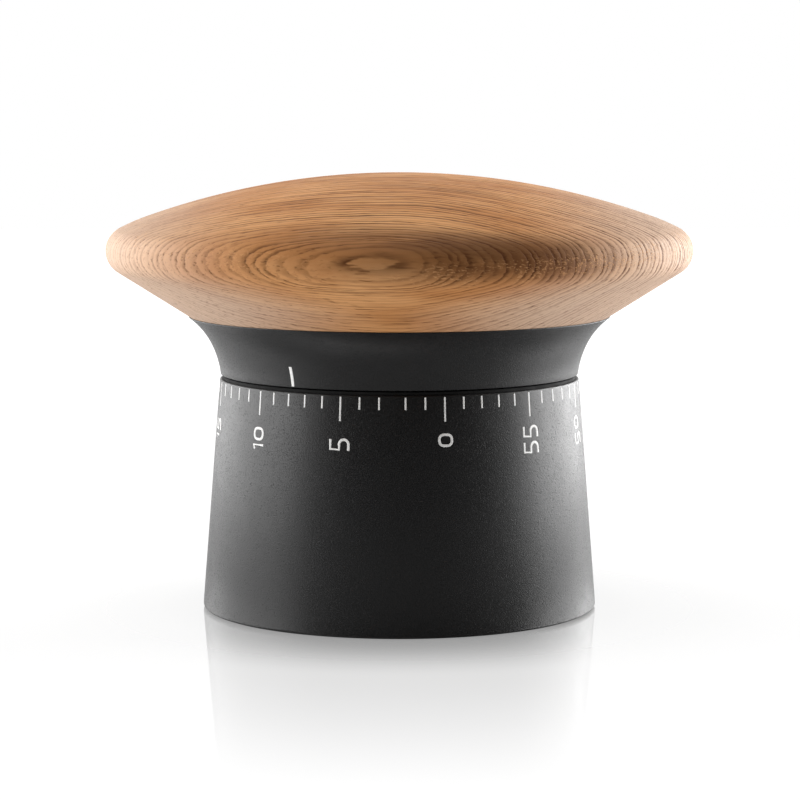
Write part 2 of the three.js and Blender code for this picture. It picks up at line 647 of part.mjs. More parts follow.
// ---- Frame of the movement ----
function movementPlate(from, to, centreHole, extraHoles) {
  const pivots = [second, third, escapement, lever, balance]
    .map(({ point }) => hole(PIVOT_RADIUS + RUNNING, 8, [point.x, point.y]));
  const spigots = onCircle(pillarCircle, pillarAngles)
    .map((point) => hole(SPIGOT_RADIUS + FIT, FINE, [point.x, point.y]));
  const holes = [hole(centreHole, 20), ...pivots, ...spigots, ...extraHoles];
  return plate(circle(plateRadius, ROUND), holes, from, to);
}

function pillar() {
  const bottomEnd = bottomPlateUnder - NUT_HEIGHT - SPIGOT_END;
  const topEnd = topPlateTop + NUT_HEIGHT + SPIGOT_END;
  return turned([
    [0, bottomEnd], [SPIGOT_RADIUS, bottomEnd], [SPIGOT_RADIUS, bottomPlateTop],
    [PILLAR_RADIUS, bottomPlateTop], [PILLAR_RADIUS, topPlateUnder], [SPIGOT_RADIUS, topPlateUnder],
    [SPIGOT_RADIUS, topEnd], [0, topEnd],
  ], FINE);
}

function nut(from) {
  return plate(circle(NUT_RADIUS, 6), [hole(SPIGOT_RADIUS + FIT, FINE)], from, from + NUT_HEIGHT);
}

function buildFrame() {
  const frame = assembly();
  const mountHoles = onCircle(mountScrewCircle, mountAngles)
    .map((point) => hole(screwHole, FINE, [point.x, point.y]));
  const topPlate = movementPlate(topPlateUnder, topPlateTop, MAIN_NECK_RADIUS + RUNNING, mountHoles);
  piece(frame, 'top_plate', topPlate, BRASS);
  const bottomPlate = movementPlate(bottomPlateUnder, bottomPlateTop, MAIN_PIVOT_RADIUS + RUNNING, []);
  piece(frame, 'bottom_plate', bottomPlate, BRASS);
  onCircle(pillarCircle, pillarAngles).forEach((point, i) => {
    piece(frame, `pillar_${i + 1}`, moved(pillar(), point), STEEL);
    piece(frame, `pillar_nut_top_${i + 1}`, moved(nut(topPlateTop), point), STEEL);
    piece(frame, `pillar_nut_bottom_${i + 1}`, moved(nut(bottomPlateUnder - NUT_HEIGHT), point), STEEL);
  });
  const mountScrew = screw(SCREW_HEAD, 1.1, SCREW_SHANK, topPlateUnder, deckUnder - 0.4);
  screwsOn(frame, 'movement_screw', mountScrewCircle, mountAngles, mountScrew);
  piece(frame, 'mainspring', mainspring(), SPRING_STEEL);
}

function mainspring() {
  const from = bottomPlateTop + MAINSPRING_LEVEL;
  const to = from + MAINSPRING_HEIGHT;
  const inner = MAIN_ARBOR_RADIUS + CLEAR + MAINSPRING_STRIP / 2;
  const coil = spiral(inner, MAINSPRING_OUTER, 5, MAINSPRING_STRIP, from, to, 16);
  const anchor = polar(pillarCircle - PILLAR_RADIUS - CLEAR - 0.3, 0);
  const tail = bar(polar(MAINSPRING_OUTER, 0), anchor, MAINSPRING_STRIP, from, to);
  return coil.add(tail).rotate([0, 0, pillarAngles[2]]);
}

// ---- Wheels and pinions ----
function wheelBody({ teeth, module, level, thickness, hub }, bore, spokes = 4) {
  const root = teeth * module / 2 - WHEEL_TEETH.dedendum * module;
  const outline = gearOutline(teeth, module, WHEEL_TEETH);
  const openings = windows(spokes, hub, root - WHEEL_RIM, SPOKE_WIDTH);
  const from = bottomPlateTop + level;
  return plate(outline, [hole(bore, 24), ...openings], from, from + thickness);
}

// A pinion arbor from plate to plate; its wheel sits on the shoulder above the leaves.
function pinionBody(leaves, module, leafLevel, wheelLevel) {
  const from = bottomPlateTop + leafLevel;
  const seat = bottomPlateTop + wheelLevel;
  const leafTop = seat - WHEEL_SEAT;
  const low = bottomPlateTop + END_SHAKE;
  const high = topPlateUnder - END_SHAKE;
  const arbor = turned([
    [0, bottomPlateUnder], [PIVOT_RADIUS, bottomPlateUnder], [PIVOT_RADIUS, low], [ARBOR_RADIUS, low],
    [ARBOR_RADIUS, leafTop], [ARBOR_RADIUS + WHEEL_SEAT, leafTop], [ARBOR_RADIUS + WHEEL_SEAT, seat],
    [ARBOR_RADIUS, seat], [ARBOR_RADIUS, high], [PIVOT_RADIUS, high], [PIVOT_RADIUS, topPlateTop],
    [0, topPlateTop],
  ], FINE);
  return arbor.add(plate(gearOutline(leaves, module, PINION_LEAVES), [], from, leafTop));
}

function buildTrain() {
  const bore = ARBOR_RADIUS + FIT;
  const greatWheel = wheelBody(GREAT, MAIN_ARBOR_RADIUS + FIT);
  piece(assembly(), 'great_wheel', greatWheel, BRASS);

  const secondTurn = meshAngle(0, GREAT.teeth, second.angle, SECOND.leaves);
  const secondGroup = assembly(second.point, secondTurn);
  piece(secondGroup, 'second_wheel', wheelBody(SECOND, bore), BRASS);
  const secondPinion = pinionBody(SECOND.leaves, GREAT.module, GREAT.level - LEAF_OVERRUN, SECOND.level);
  piece(secondGroup, 'second_pinion', secondPinion, STEEL);

  const thirdLine = bearing(second.point, third.point);
  const thirdTurn = meshAngle(secondTurn, SECOND.teeth, thirdLine, THIRD.leaves);
  const thirdGroup = assembly(third.point, thirdTurn);
  piece(thirdGroup, 'third_wheel', wheelBody(THIRD, bore), BRASS);
  const thirdPinion = pinionBody(THIRD.leaves, SECOND.module, SECOND.level - LEAF_OVERRUN, THIRD.level);
  piece(thirdGroup, 'third_pinion', thirdPinion, STEEL);

  const escapeLine = bearing(third.point, escapement.point);
  const escapeTurn = meshAngle(thirdTurn, THIRD.teeth, escapeLine, ESCAPE.leaves);
  const escapeGroup = assembly(escapement.point, escapeTurn);
  piece(escapeGroup, 'escape_wheel', escapeWheel(bore), BRASS);
  const escapePinion = pinionBody(ESCAPE.leaves, THIRD.module, THIRD.level - LEAF_OVERRUN, ESCAPE.level);
  piece(escapeGroup, 'escape_pinion', escapePinion, STEEL);
}

function escapeWheel(bore) {
  const pitch = 360 / ESCAPE.teeth;
  const outline = Array.from({ length: ESCAPE.teeth }, (_, i) => [
    polar(ESCAPE.root, (i - 0.1) * pitch),
    polar(ESCAPE.tip, (i - 0.06) * pitch),
    polar(ESCAPE.tip, (i + 0.06) * pitch),
    polar(ESCAPE.root, (i + 0.45) * pitch),
  ]).flat().map((point) => [point.x, point.y]);
  const from = bottomPlateTop + ESCAPE.level;
  return plate(outline, [hole(bore, FINE)], from, from + ESCAPE.thickness);
}

// ---- Lever, balance and hairspring ----
function plainArbor(radius, shoulder, seat) {
  const low = bottomPlateTop + END_SHAKE;
  const high = topPlateUnder - END_SHAKE;
  return turned([
    [0, bottomPlateUnder], [PIVOT_RADIUS - 0.1, bottomPlateUnder], [PIVOT_RADIUS - 0.1, low],
    [radius, low], [radius, seat - 0.6], [shoulder, seat - 0.6], [shoulder, seat], [radius, seat],
    [radius, high], [PIVOT_RADIUS - 0.1, high], [PIVOT_RADIUS - 0.1, topPlateTop], [0, topPlateTop],
  ], FINE);
}

// The fork points along +X; the pallet arms reach towards the escape wheel.
function leverBody() {
  const from = bottomPlateTop + LEVER_LEVEL;
  const to = from + LEVER_THICKNESS;
  const origin = new THREE.Vector2(0, 0);
  const hub = rod(1.7, from, to);
  const slotInner = BALANCE_REACH - IMPULSE_RADIUS - IMPULSE_PIN - 0.9;
  const forkEnd = BALANCE_REACH - STAFF_RADIUS - CLEAR - 0.15;
  const slotHalf = IMPULSE_PIN + FORK_PLAY;
  const arm = bar(origin, new THREE.Vector2(slotInner, 0), 1.3, from, to);
  const forkWidth = 2 * slotHalf + 1.6;
  const forkStart = new THREE.Vector2(slotInner - 0.8, 0);
  const fork = bar(forkStart, new THREE.Vector2(forkEnd, 0), forkWidth, from, to);
  const slot = bar(new THREE.Vector2(slotInner, 0), new THREE.Vector2(forkEnd + 1, 0), 2 * slotHalf,
    from - 1, to + 1);
  const turn = bearing(lever.point, balance.point);
  const escapeAt = polar(LEVER_REACH, bearing(lever.point, escapement.point) - turn);
  const back = bearing(escapeAt, origin);
  const pallets = [PALLET_SPREAD, -PALLET_SPREAD].flatMap((spread) => {
    const tip = polar(PALLET_RADIUS, back + spread).add(escapeAt);
    const pin = moved(rod(PALLET_PIN, bottomPlateTop + ESCAPE.level - 0.3, from + 0.2, 8), tip);
    const palletArm = bar(origin, tip, 1.1, from, to);
    const boss = moved(rod(0.75, from, to, FINE), tip);
    return [palletArm, boss, pin];
  });
  const bore = rod(clearing(STAFF_RADIUS + FIT, FINE), from - 1, to + 1, FINE);
  return joined([hub, arm, fork, ...pallets]).subtract(slot).subtract(bore);
}

function balanceWheel() {
  const from = bottomPlateTop + BALANCE_LEVEL;
  const openings = windows(2, 2.0, BALANCE_RADIUS - BALANCE_RIM, 1.8);
  const holes = [hole(STAFF_RADIUS + FIT, FINE), ...openings];
  return plate(circle(BALANCE_RADIUS, 32), holes, from, from + BALANCE_THICKNESS);
}

function balanceStaff() {
  const rollerTop = bottomPlateTop + LEVER_LEVEL - CLEAR - 0.2;
  const roller = rod(ROLLER_RADIUS, rollerTop - 0.8, rollerTop, 20);
  const pinTop = bottomPlateTop + LEVER_LEVEL + LEVER_THICKNESS + 0.1;
  const pin = rod(IMPULSE_PIN, rollerTop - 0.2, pinTop, 8).translate([IMPULSE_RADIUS, 0, 0]);
  return joined([plainArbor(STAFF_RADIUS, 1.4, bottomPlateTop + BALANCE_LEVEL), roller, pin]);
}

function hairspring() {
  const from = bottomPlateTop + HAIRSPRING_LEVEL;
  const collet = tube(STAFF_RADIUS + FIT, 1.3, from, from + 0.8, FINE);
  return spiral(1.2, HAIRSPRING_OUTER, 4, 0.22, from, from + 0.8, 14).add(collet);
}

function buildEscapement() {
  const leverGroup = assembly(lever.point, bearing(lever.point, balance.point));
  piece(leverGroup, 'pallet_lever', leverBody(), BRASS);
  const leverArbor = plainArbor(STAFF_RADIUS, 1.2, bottomPlateTop + LEVER_LEVEL);
  piece(leverGroup, 'lever_arbor', leverArbor, STEEL);

  const balanceGroup = assembly(balance.point, bearing(balance.point, lever.point));
  piece(balanceGroup, 'balance_wheel', balanceWheel(), BRASS);
  piece(balanceGroup, 'balance_staff', balanceStaff(), STEEL);

  const springGroup = assembly(balance.point, bearing(balance.point, studPoint));
  piece(springGroup, 'hairspring', hairspring(), SPRING_STEEL);
  const stud = rod(STUD_RADIUS, bottomPlateTop + HAIRSPRING_LEVEL - 0.4, topPlateUnder);
  piece(assembly(), 'hairspring_stud', moved(stud, studPoint), BRASS);
}

// ---- Bell, its bridge, and the hammer ----
function bellBody() {
  const centre = [0, bellMouth];
  const squash = (radius, depth, steps) => arc(centre, radius, 0, -90, steps)
    .map(([x, z]) => [x, bellMouth + (z - bellMouth) * depth / radius]);
  const outer = squash(BELL_RADIUS, BELL_DEPTH, 6).filter(([x]) => x > BELL_SEAT);
  const inner = squash(BELL_RADIUS - BELL_WALL, BELL_DEPTH - BELL_WALL, 6).filter(([x]) => x > BELL_SEAT);
  return turned([
    [screwHole, bellFoot], [BELL_SEAT, bellFoot], ...outer.reverse(),
    ...inner, [BELL_SEAT, bellFoot + BELL_WALL], [screwHole, bellFoot + BELL_WALL],
  ], 32);
}

function bridgeBody() {
  const ends = [polar(BRIDGE_SPAN, BRIDGE_ANGLE), polar(BRIDGE_SPAN, BRIDGE_ANGLE + 180)];
  const strap = bar(ends[0], ends[1], BRIDGE_WIDTH, bridgeUnder, bridgeTop);
  const feet = ends.map((end) => moved(rod(BRIDGE_WIDTH / 2, bridgeUnder, bottomPlateUnder), end));
  const post = rod(BRIDGE_POST_RADIUS, bellFoot + BELL_WALL, bridgeUnder + BORE_MERGE);
  const bore = rod(screwHole, bellFoot, bridgeUnder - 0.4);
  return joined([strap, ...feet, post]).subtract(bore);
}

function hammerBody() {
  const hub = moved(rod(2.3, hammerUnder, hammerTop), hammerPivot);
  const arm = bar(hammerPivot, hammerHead, HAMMER_ARM, hammerUnder, hammerTop);
  const head = moved(rod(HAMMER_HEAD_RADIUS, hammerTop - HAMMER_HEAD_LENGTH, hammerTop), hammerHead);
  const tailEnd = polar(CAM_RADIUS + CAM_FOLLOWER_GAP, HAMMER_PIVOT_ANGLE);
  const tail = bar(hammerPivot, tailEnd, HAMMER_ARM - 0.2, hammerUnder, hammerTop);
  const boreRadius = clearing(ARBOR_RADIUS + RUNNING, SMALL);
  const bore = moved(rod(boreRadius, hammerUnder - 1, hammerTop + 1), hammerPivot);
  return joined([hub, arm, head, tail]).subtract(bore);
}

function hammerSpring() {
  const along = polar(1, HAMMER_PIVOT_ANGLE + 180);
  const across = polar(1, HAMMER_PIVOT_ANGLE - 90);
  const post = hammerPivot.clone().addScaledVector(along, -1.5).addScaledVector(across, 6.0);
  const side = (HAMMER_ARM - 0.2) / 2 + CLEAR + 0.35;
  const tip = hammerPivot.clone().addScaledVector(along, 6.2).addScaledVector(across, side);
  const leaf = bar(post, tip, 0.35, hammerUnder + 0.1, hammerTop - 0.1);
  return leaf.add(moved(rod(0.9, hammerUnder, bottomPlateUnder), post));
}

function buildStriker() {
  const striker = assembly();
  piece(striker, 'bell', bellBody(), STEEL);
  piece(striker, 'bell_bridge', bridgeBody(), BRASS);
  const bellScrew = screw(SCREW_HEAD + 0.4, 0.9, SCREW_SHANK, bellFoot, bridgeUnder - 0.8);
  piece(striker, 'bell_screw', bellScrew, STEEL);
  piece(striker, 'hammer', hammerBody(), STEEL);
  const flange = hammerUnder - CLEAR;
  const pin = turned([
    [0, flange - 0.6], [1.8, flange - 0.6], [1.8, flange], [ARBOR_RADIUS, flange],
    [ARBOR_RADIUS, bottomPlateUnder], [0, bottomPlateUnder],
  ]);
  piece(striker, 'hammer_pin', moved(pin, hammerPivot), STEEL);
  piece(striker, 'hammer_spring', hammerSpring(), SPRING_STEEL);
}

buildBody();
buildFrame();
buildTrain();
buildEscapement();
buildStriker();
buildKnob();

export default timer;
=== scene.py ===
"""Looks for a wind-up sixty-minute kitchen timer, laid out as an add-on and run as a script.

An oak knob on a flared black collar turns over a tapered black body with a printed minute scale.
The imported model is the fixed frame: it gives every place, and the movement keeps its own pieces.
"""

import math

import bmesh
import bpy
from bpy.props import FloatProperty, FloatVectorProperty, PointerProperty
from mathutils import Matrix, Vector


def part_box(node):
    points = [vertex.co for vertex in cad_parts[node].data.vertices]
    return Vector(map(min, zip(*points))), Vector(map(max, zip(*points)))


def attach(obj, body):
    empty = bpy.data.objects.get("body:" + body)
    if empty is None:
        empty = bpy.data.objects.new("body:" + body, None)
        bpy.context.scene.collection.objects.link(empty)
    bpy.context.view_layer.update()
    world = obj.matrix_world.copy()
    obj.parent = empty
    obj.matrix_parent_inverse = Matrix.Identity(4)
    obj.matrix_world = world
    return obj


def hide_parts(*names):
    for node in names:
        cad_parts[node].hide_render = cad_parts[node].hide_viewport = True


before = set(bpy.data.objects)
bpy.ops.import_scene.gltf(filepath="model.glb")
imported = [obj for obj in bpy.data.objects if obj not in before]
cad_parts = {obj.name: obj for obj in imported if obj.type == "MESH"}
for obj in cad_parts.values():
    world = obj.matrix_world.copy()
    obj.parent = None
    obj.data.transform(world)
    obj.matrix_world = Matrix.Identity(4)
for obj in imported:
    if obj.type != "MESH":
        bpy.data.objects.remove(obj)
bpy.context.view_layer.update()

bl_info = {
    "name": "Wind-up kitchen timer",
    "version": (1, 0, 0),
    "blender": (4, 5, 0),
    "location": "3D View > Sidebar > Timer",
    "description": "Models and finishes a wind-up kitchen timer with an oak knob",
    "category": "Object",
}

MM = 0.001

# Places that the frame gives
KNOB_LOW, KNOB_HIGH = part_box("wooden_knob")
COLLAR_LOW, COLLAR_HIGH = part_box("knob_collar")
SHELL_LOW, SHELL_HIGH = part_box("body_shell")
COVER_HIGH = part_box("bottom_cover")[1]
FOOT_LOW, FOOT_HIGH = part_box("foot_ring")
WASHER_LOW, WASHER_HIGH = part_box("glide_washer")

# Fixed sizes that follow the moulded parts
COLLAR_STEP = 0.2 * MM       # how far the knob's foot stands inside the collar's top edge
COLLAR_WALL = 1.8 * MM
COLLAR_WEB = 2.0 * MM
COLLAR_INSET = 0.15 * MM     # how far the collar's foot stands inside the body's top edge
COLLAR_DROP = 0.1 * MM       # from the collar's top to the top of its flare
TURNING_LINE = 0.7 * MM      # height of the open line between the body and the collar
SHELL_WALL = 2.2 * MM
BODY_TOP = COLLAR_LOW.z - TURNING_LINE
GUIDE_RADIUS = 26.6 * MM     # outer radius of the ring that the collar turns on
GUIDE_WALL = 1.2 * MM
DECK_BORE = 4.25 * MM
DECK_UNDER = 34.3 * MM
DECK_TOP = 36.5 * MM
FOOT_RING_WIDTH = 1.8 * MM
COVER_GAP = 0.25 * MM        # round the base cover, in its rebate
WASHER_GAP = 0.3 * MM        # between the guide ring and the soft washer
EDGE_ROUND = 0.3 * MM
FINE_EDGE = 0.12 * MM
FOOT_ROUND = 0.6 * MM
POINTER_DROP = 0.1 * MM      # the pointer starts this far into the rounding of the collar's foot
ROUND_STEPS = 180            # steps round a turned piece
RIM_STEPS = 24
SHOULDER_STEPS = 8
DOME_STEPS = 28
FLARE_STEPS = 40
POINTER_STEPS = 8
HALVINGS = 24                # how often a search for a height halves its range
DOUBLES = 0.001 * MM         # points closer than this are one
SHARP_EDGE = math.radians(38)
MINUTES = 60
FIGURE_EVERY = 5
LAST_BEFORE_SEAM = 2         # the printed band's ends meet after this minute

# Camera
CAMERA_PLACE = (0.1 * MM, -478.5 * MM, 85.9 * MM)
CAMERA_TILT = math.radians(83.77)
LENS = 132.7
SENSOR = 36.0

# Lights: name, place, size, power in watts, and the point that it faces
LIGHTS = (
    ("left_softbox", (-0.7, 0.36, 0.29), (1.45, 0.58), 12.0, (0.0, 0.36, 0.27)),
    ("right_softbox", (0.7, 0.60, 0.29), (1.25, 0.58), 19.0, (0.0, 0.60, 0.27)),
    ("top_softbox", (-0.15, 0.05, 0.95), (0.7, 0.7), 5.0, (0.0, 0.0, 0.035)),
    ("left_low_panel", (-0.26, 0.12, 0.004), (0.2, 0.4), 0.9, (-0.26, 0.12, 1.0)),
    ("right_low_panel", (0.26, 0.12, 0.004), (0.2, 0.4), 1.5, (0.26, 0.12, 1.0)),
    ("back_panel", (0.0, 1.3, 0.5), (3.2, 1.0), 12.0, (0.0, 0.0, 0.035)),
)
WHITE = (1.0, 1.0, 1.0, 1.0)
FILL = 0.004                 # strength of the light from all round
FLOOR_HALF = 1.2             # half of the floor's side, in metres

# The floor, as reach from the timer's axis in millimetres, then the value at each end
# The mirror gloss round the timer: a painted reflection fade, and near the foot also a painted contact
# shadow
NEAR_PAINTED_REFLECTION_AND_SHADOW = (34.0, 60.0, 0.33, 0.0)
FAR_PAINTED_REFLECTION = (62.0, 145.0, 0.27, 0.0)
# The floor's glow is painted light: dimmer near the timer as painted shade, up to full white far out
FLOOR_GLOW = (150.0, 600.0, 0.79, 1.05)
# A painted contact shadow in the glow, close round the foot
CONTACT_SHADE = (32.0, 42.0, -0.03, 0.02)
REFLECTED_PAINTED_SHADE = (-60.0, 160.0, -0.8, 0.0)     # painted shade on the glow that reflections see, from front to back


# ---- What a user may change ----
class TimerShape(bpy.types.PropertyGroup):
    """Sizes of the timer's visible pieces."""

    rim_round: FloatProperty(
        name="Rim rounding", description="Radius of the knob's outer edge",
        default=3.9 * MM, min=1.0 * MM, unit="LENGTH", subtype="DISTANCE")
    under_slope: FloatProperty(
        name="Under slope", description="Rise of the knob's underside from the collar to the rim",
        default=math.radians(32.35), unit="ROTATION", subtype="ANGLE")
    shoulder_radius: FloatProperty(
        name="Shoulder radius", description="Radius of the curve between the rim and the dome",
        default=33.7 * MM, unit="LENGTH", subtype="DISTANCE")
    shoulder_slope: FloatProperty(
        name="Shoulder slope", description="Slope of the knob's top where it leaves the rim",
        default=math.radians(27.5), unit="ROTATION", subtype="ANGLE")
    flare_lean: FloatProperty(
        name="Flare lean", description="How far the lower collar leans out before it flares",
        default=0.86 * MM, unit="LENGTH", subtype="DISTANCE")
    flare_rise: FloatProperty(
        name="Flare rise", description="Height on the collar at which it turns outwards",
        default=6.1 * MM, unit="LENGTH", subtype="DISTANCE")
    neck_radius: FloatProperty(
        name="Neck radius", description="Radius of the body at its top edge",
        default=29.2 * MM, unit="LENGTH", subtype="DISTANCE")
    band_seam: FloatProperty(
        name="Band seam", description="Extra turn where the two ends of the printed band meet",
        default=math.radians(2.0), unit="ROTATION", subtype="ANGLE")
    zero_angle: FloatProperty(
        name="Zero mark", description="Bearing of the zero mark about the timer's axis",
        default=math.radians(-76.2), unit="ROTATION", subtype="ANGLE")
    pointer_angle: FloatProperty(
        name="Pointer", description="Bearing of the pointer on the collar, with the knob at rest",
        default=math.radians(-124.5), unit="ROTATION", subtype="ANGLE")
    short_tick: FloatProperty(
        name="Short mark", description="Length of a minute mark",
        default=1.9 * MM, unit="LENGTH", subtype="DISTANCE")
    long_tick: FloatProperty(
        name="Long mark", description="Length of a five-minute mark",
        default=3.75 * MM, unit="LENGTH", subtype="DISTANCE")
    tick_width: FloatProperty(
        name="Mark width", description="Width of the minute marks",
        default=0.27 * MM, unit="LENGTH", subtype="DISTANCE")
    figure_width: FloatProperty(
        name="Figure stroke", description="Width of the strokes of the figures",
        default=0.4 * MM, unit="LENGTH", subtype="DISTANCE")
    figure_level: FloatProperty(
        name="Figure level", description="Height at which the figures are centred",
        default=29.85 * MM, unit="LENGTH", subtype="DISTANCE")
    zero_level: FloatProperty(
        name="Zero level", description="Height at which the zero is centred",
        default=30.6 * MM, unit="LENGTH", subtype="DISTANCE")
    pointer_width: FloatProperty(
        name="Pointer width", description="Width of the pointer line",
        default=0.53 * MM, unit="LENGTH", subtype="DISTANCE")
    pointer_length: FloatProperty(
        name="Pointer length", description="Length of the pointer line",
        default=3.1 * MM, unit="LENGTH", subtype="DISTANCE")
    ink_height: FloatProperty(
        name="Ink height", description="How far the printed ink stands proud",
        default=0.03 * MM, unit="LENGTH", subtype="DISTANCE")


def colour(name, description, default):
    """A colour property, linear red, green and blue."""
    return FloatVectorProperty(
        name=name, description=description, default=default,
        size=3, min=0.0, max=1.0, subtype="COLOR")


class TimerFinish(bpy.types.PropertyGroup):
    """Colours of the timer's materials."""

    oak_pale: colour("Pale oak", "Late wood", (0.66, 0.343, 0.145))
    oak_warm: colour("Warm oak", "The wood between the rings", (0.47, 0.204, 0.071))
    oak_dark: colour("Dark oak", "Early wood and pores", (0.08, 0.025, 0.007))
    # Mixed in towards the knob's ends and underside: partly dry end grain, partly a painted highlight of
    # the side lights and the floor
    oak_tip: colour("End oak", "The dry ends of the grain", (0.57, 0.42, 0.32))
    plastic: colour("Plastic", "The body and the collar", (0.006, 0.006, 0.0063))
    ink: colour("Ink", "The minute scale and the pointer", (0.84, 0.84, 0.83))
    rubber: colour("Rubber", "The foot ring and the washer", (0.006, 0.006, 0.006))
    brass: colour("Brass", "Plates, wheels and bushes", (0.78, 0.56, 0.24))
    steel: colour("Steel", "Arbors, pillars and screws", (0.62, 0.63, 0.65))
    plated: colour("Plated steel", "The bell", (0.72, 0.73, 0.75))
    blued: colour("Blued steel", "The springs", (0.10, 0.14, 0.26))


# ---- Outlines, as [radius, height] ----
def arc(centre, radius, start, end, steps):
    """Points along an arc, with its angles in radians."""
    angles = [start + (end - start) * i / steps for i in range(steps + 1)]
    return [(centre[0] + radius * math.cos(a), centre[1] + radius * math.sin(a)) for a in angles]


def fillet(before, corner, after, radius, steps=4):
    """The corner between two straight runs, rounded."""
    corner = Vector(corner)
    to_before = (Vector(before) - corner).normalized()
    to_after = (Vector(after) - corner).normalized()
    half = to_before.angle(to_after) / 2
    centre = corner + (to_before + to_after).normalized() * radius / math.sin(half)
    start = corner + to_before * radius / math.tan(half) - centre
    turn = start.angle_signed(corner + to_after * radius / math.tan(half) - centre)
    spokes = [Matrix.Rotation(-turn * i / steps, 2) @ start for i in range(steps + 1)]
    return [tuple(centre + spoke) for spoke in spokes]


def softened(points, radii):
    """A closed outline with each corner rounded by its radius, or left sharp where that is 0."""
    outline = []
    for i, (corner, radius) in enumerate(zip(points, radii)):
        after = points[(i + 1) % len(points)]
        outline += fillet(points[i - 1], corner, after, radius) if radius else [corner]
    return outline


def knob_outline(shape):
    """The knob from the middle of its foot, round the rim and up to its crown."""
    rim_radius = KNOB_HIGH.x - shape.rim_round
    foot = (COLLAR_HIGH.x - COLLAR_STEP, KNOB_LOW.z)
    down = shape.under_slope - math.pi / 2
    contact = Vector((math.cos(down), math.sin(down))) * shape.rim_round
    rise = (rim_radius + contact.x - foot[0]) * math.tan(shape.under_slope)
    rim_height = foot[1] + rise - contact.y
    up = math.pi / 2 - shape.shoulder_slope
    reach = shape.shoulder_radius - shape.rim_round
    shoulder = (rim_radius - reach * math.cos(up), rim_height - reach * math.sin(up))
    crown = KNOB_HIGH.z
    drop = shoulder[1] - crown
    spread = shape.shoulder_radius ** 2 - shoulder[0] ** 2 - drop ** 2
    dome = spread / (2 * (drop + shape.shoulder_radius))
    join = math.atan2(shoulder[1] - crown + dome, shoulder[0])
    outward = (rim_radius + contact.x, foot[1] + rise)
    return (
        [(0, foot[1])]
        + fillet((0, foot[1]), foot, outward, EDGE_ROUND)
        + arc((rim_radius, rim_height), shape.rim_round, down, up, RIM_STEPS)
        + arc(shoulder, shape.shoulder_radius, up, join, SHOULDER_STEPS)[1:]
        + arc((0, crown - dome), dome, join, math.pi / 2, DOME_STEPS)[1:-1]
        + [(0, crown)]
    )


def flare_point(shape, share):
    """A point on the collar's flare, from its foot (0) to its top (1)."""
    foot = Vector((shape.neck_radius - COLLAR_INSET, COLLAR_LOW.z))
    pull = foot + Vector((shape.flare_lean, shape.flare_rise))
    top = Vector((COLLAR_HIGH.x, COLLAR_HIGH.z - COLLAR_DROP))
    return foot * (1 - share) ** 2 + pull * 2 * share * (1 - share) + top * share ** 2


def flare_radius(shape, height):
    """The collar's radius at a height, found by halving."""
    low, high = 0.0, 1.0
    for _ in range(HALVINGS):
        middle = (low + high) / 2
        if flare_point(shape, middle).y < height:
            low = middle
        else:
            high = middle
    return flare_point(shape, low).x


def collar_outline(shape):
    """The collar from the middle of its top, down the flare and back under the web."""
    flare = [tuple(flare_point(shape, 1 - i / FLARE_STEPS)) for i in range(FLARE_STEPS + 1)]
    inner = flare[-1][0] - COLLAR_WALL
    under = COLLAR_HIGH.z - COLLAR_WEB
    foot = fillet(flare[-3], flare[-1], (inner, flare[-1][1]), FINE_EDGE)
    inside = [
        (inner, flare[-1][1]), (inner, under - 2 * COLLAR_WALL),
        (inner + COLLAR_WALL, under), (0, under),
    ]
    return [(0, COLLAR_HIGH.z), (COLLAR_HIGH.x, COLLAR_HIGH.z)] + flare[:-3] + foot + inside


def shell_radius(shape, height):
    """The tapered body's outer radius at a height."""
    foot = SHELL_LOW.z + FOOT_ROUND
    share = (height - foot) / (BODY_TOP - foot)
    return SHELL_HIGH.x + (shape.neck_radius - SHELL_HIGH.x) * share


def shell_outline(shape):
    """The body's wall, its deck and the guide ring that the collar turns on."""
    ledge = COVER_HIGH.z
    rebate = COVER_HIGH.x + COVER_GAP
    foot = SHELL_LOW.z
    round_centre = (SHELL_HIGH.x - FOOT_ROUND, foot + FOOT_ROUND)
    guide_inner = GUIDE_RADIUS - GUIDE_WALL
    inside = [
        (GUIDE_RADIUS, BODY_TOP), (GUIDE_RADIUS, SHELL_HIGH.z), (guide_inner, SHELL_HIGH.z),
        (guide_inner, DECK_TOP), (DECK_BORE, DECK_TOP), (DECK_BORE, DECK_UNDER),
        (shell_radius(shape, DECK_UNDER) - SHELL_WALL, DECK_UNDER),
        (shell_radius(shape, ledge) - SHELL_WALL, ledge), (rebate, ledge), (rebate, foot),
    ]
    wall_foot = arc(round_centre, FOOT_ROUND, -math.pi / 2, 0, 6)
    lip = fillet(wall_foot[-1], (shape.neck_radius, BODY_TOP), inside[0], EDGE_ROUND)
    return wall_foot + lip + softened(inside, [0, EDGE_ROUND, EDGE_ROUND, 0, 0, 0, 0, 0, 0, 0])


def washer_outline():
    """The soft washer that fills the line between the body and the collar."""
    inner = GUIDE_RADIUS + WASHER_GAP
    points = [
        (inner, WASHER_LOW.z), (WASHER_HIGH.x, WASHER_LOW.z),
        (WASHER_HIGH.x, WASHER_HIGH.z), (inner, WASHER_HIGH.z),
    ]
    return softened(points, [0, 0, FINE_EDGE, FINE_EDGE])


def foot_outline():
    """The rubber ring, with a rounded tread and a shallow groove round it."""
    middle = (FOOT_LOW.z + FOOT_HIGH.z) / 2
    inner = FOOT_HIGH.x - FOOT_RING_WIDTH
    centre = FOOT_HIGH.x - FOOT_RING_WIDTH / 2
    groove = FOOT_RING_WIDTH / 8
    points = [
        (inner, FOOT_LOW.z), (centre - groove, FOOT_LOW.z), (centre, FOOT_LOW.z + groove),
        (centre + groove, FOOT_LOW.z), (FOOT_HIGH.x, FOOT_LOW.z), (FOOT_HIGH.x, middle),
        (FOOT_HIGH.x, FOOT_HIGH.z), (inner, FOOT_HIGH.z),
    ]
    return softened(points, [EDGE_ROUND, groove / 4, 0, groove / 4, EDGE_ROUND, 0, 0, 0])


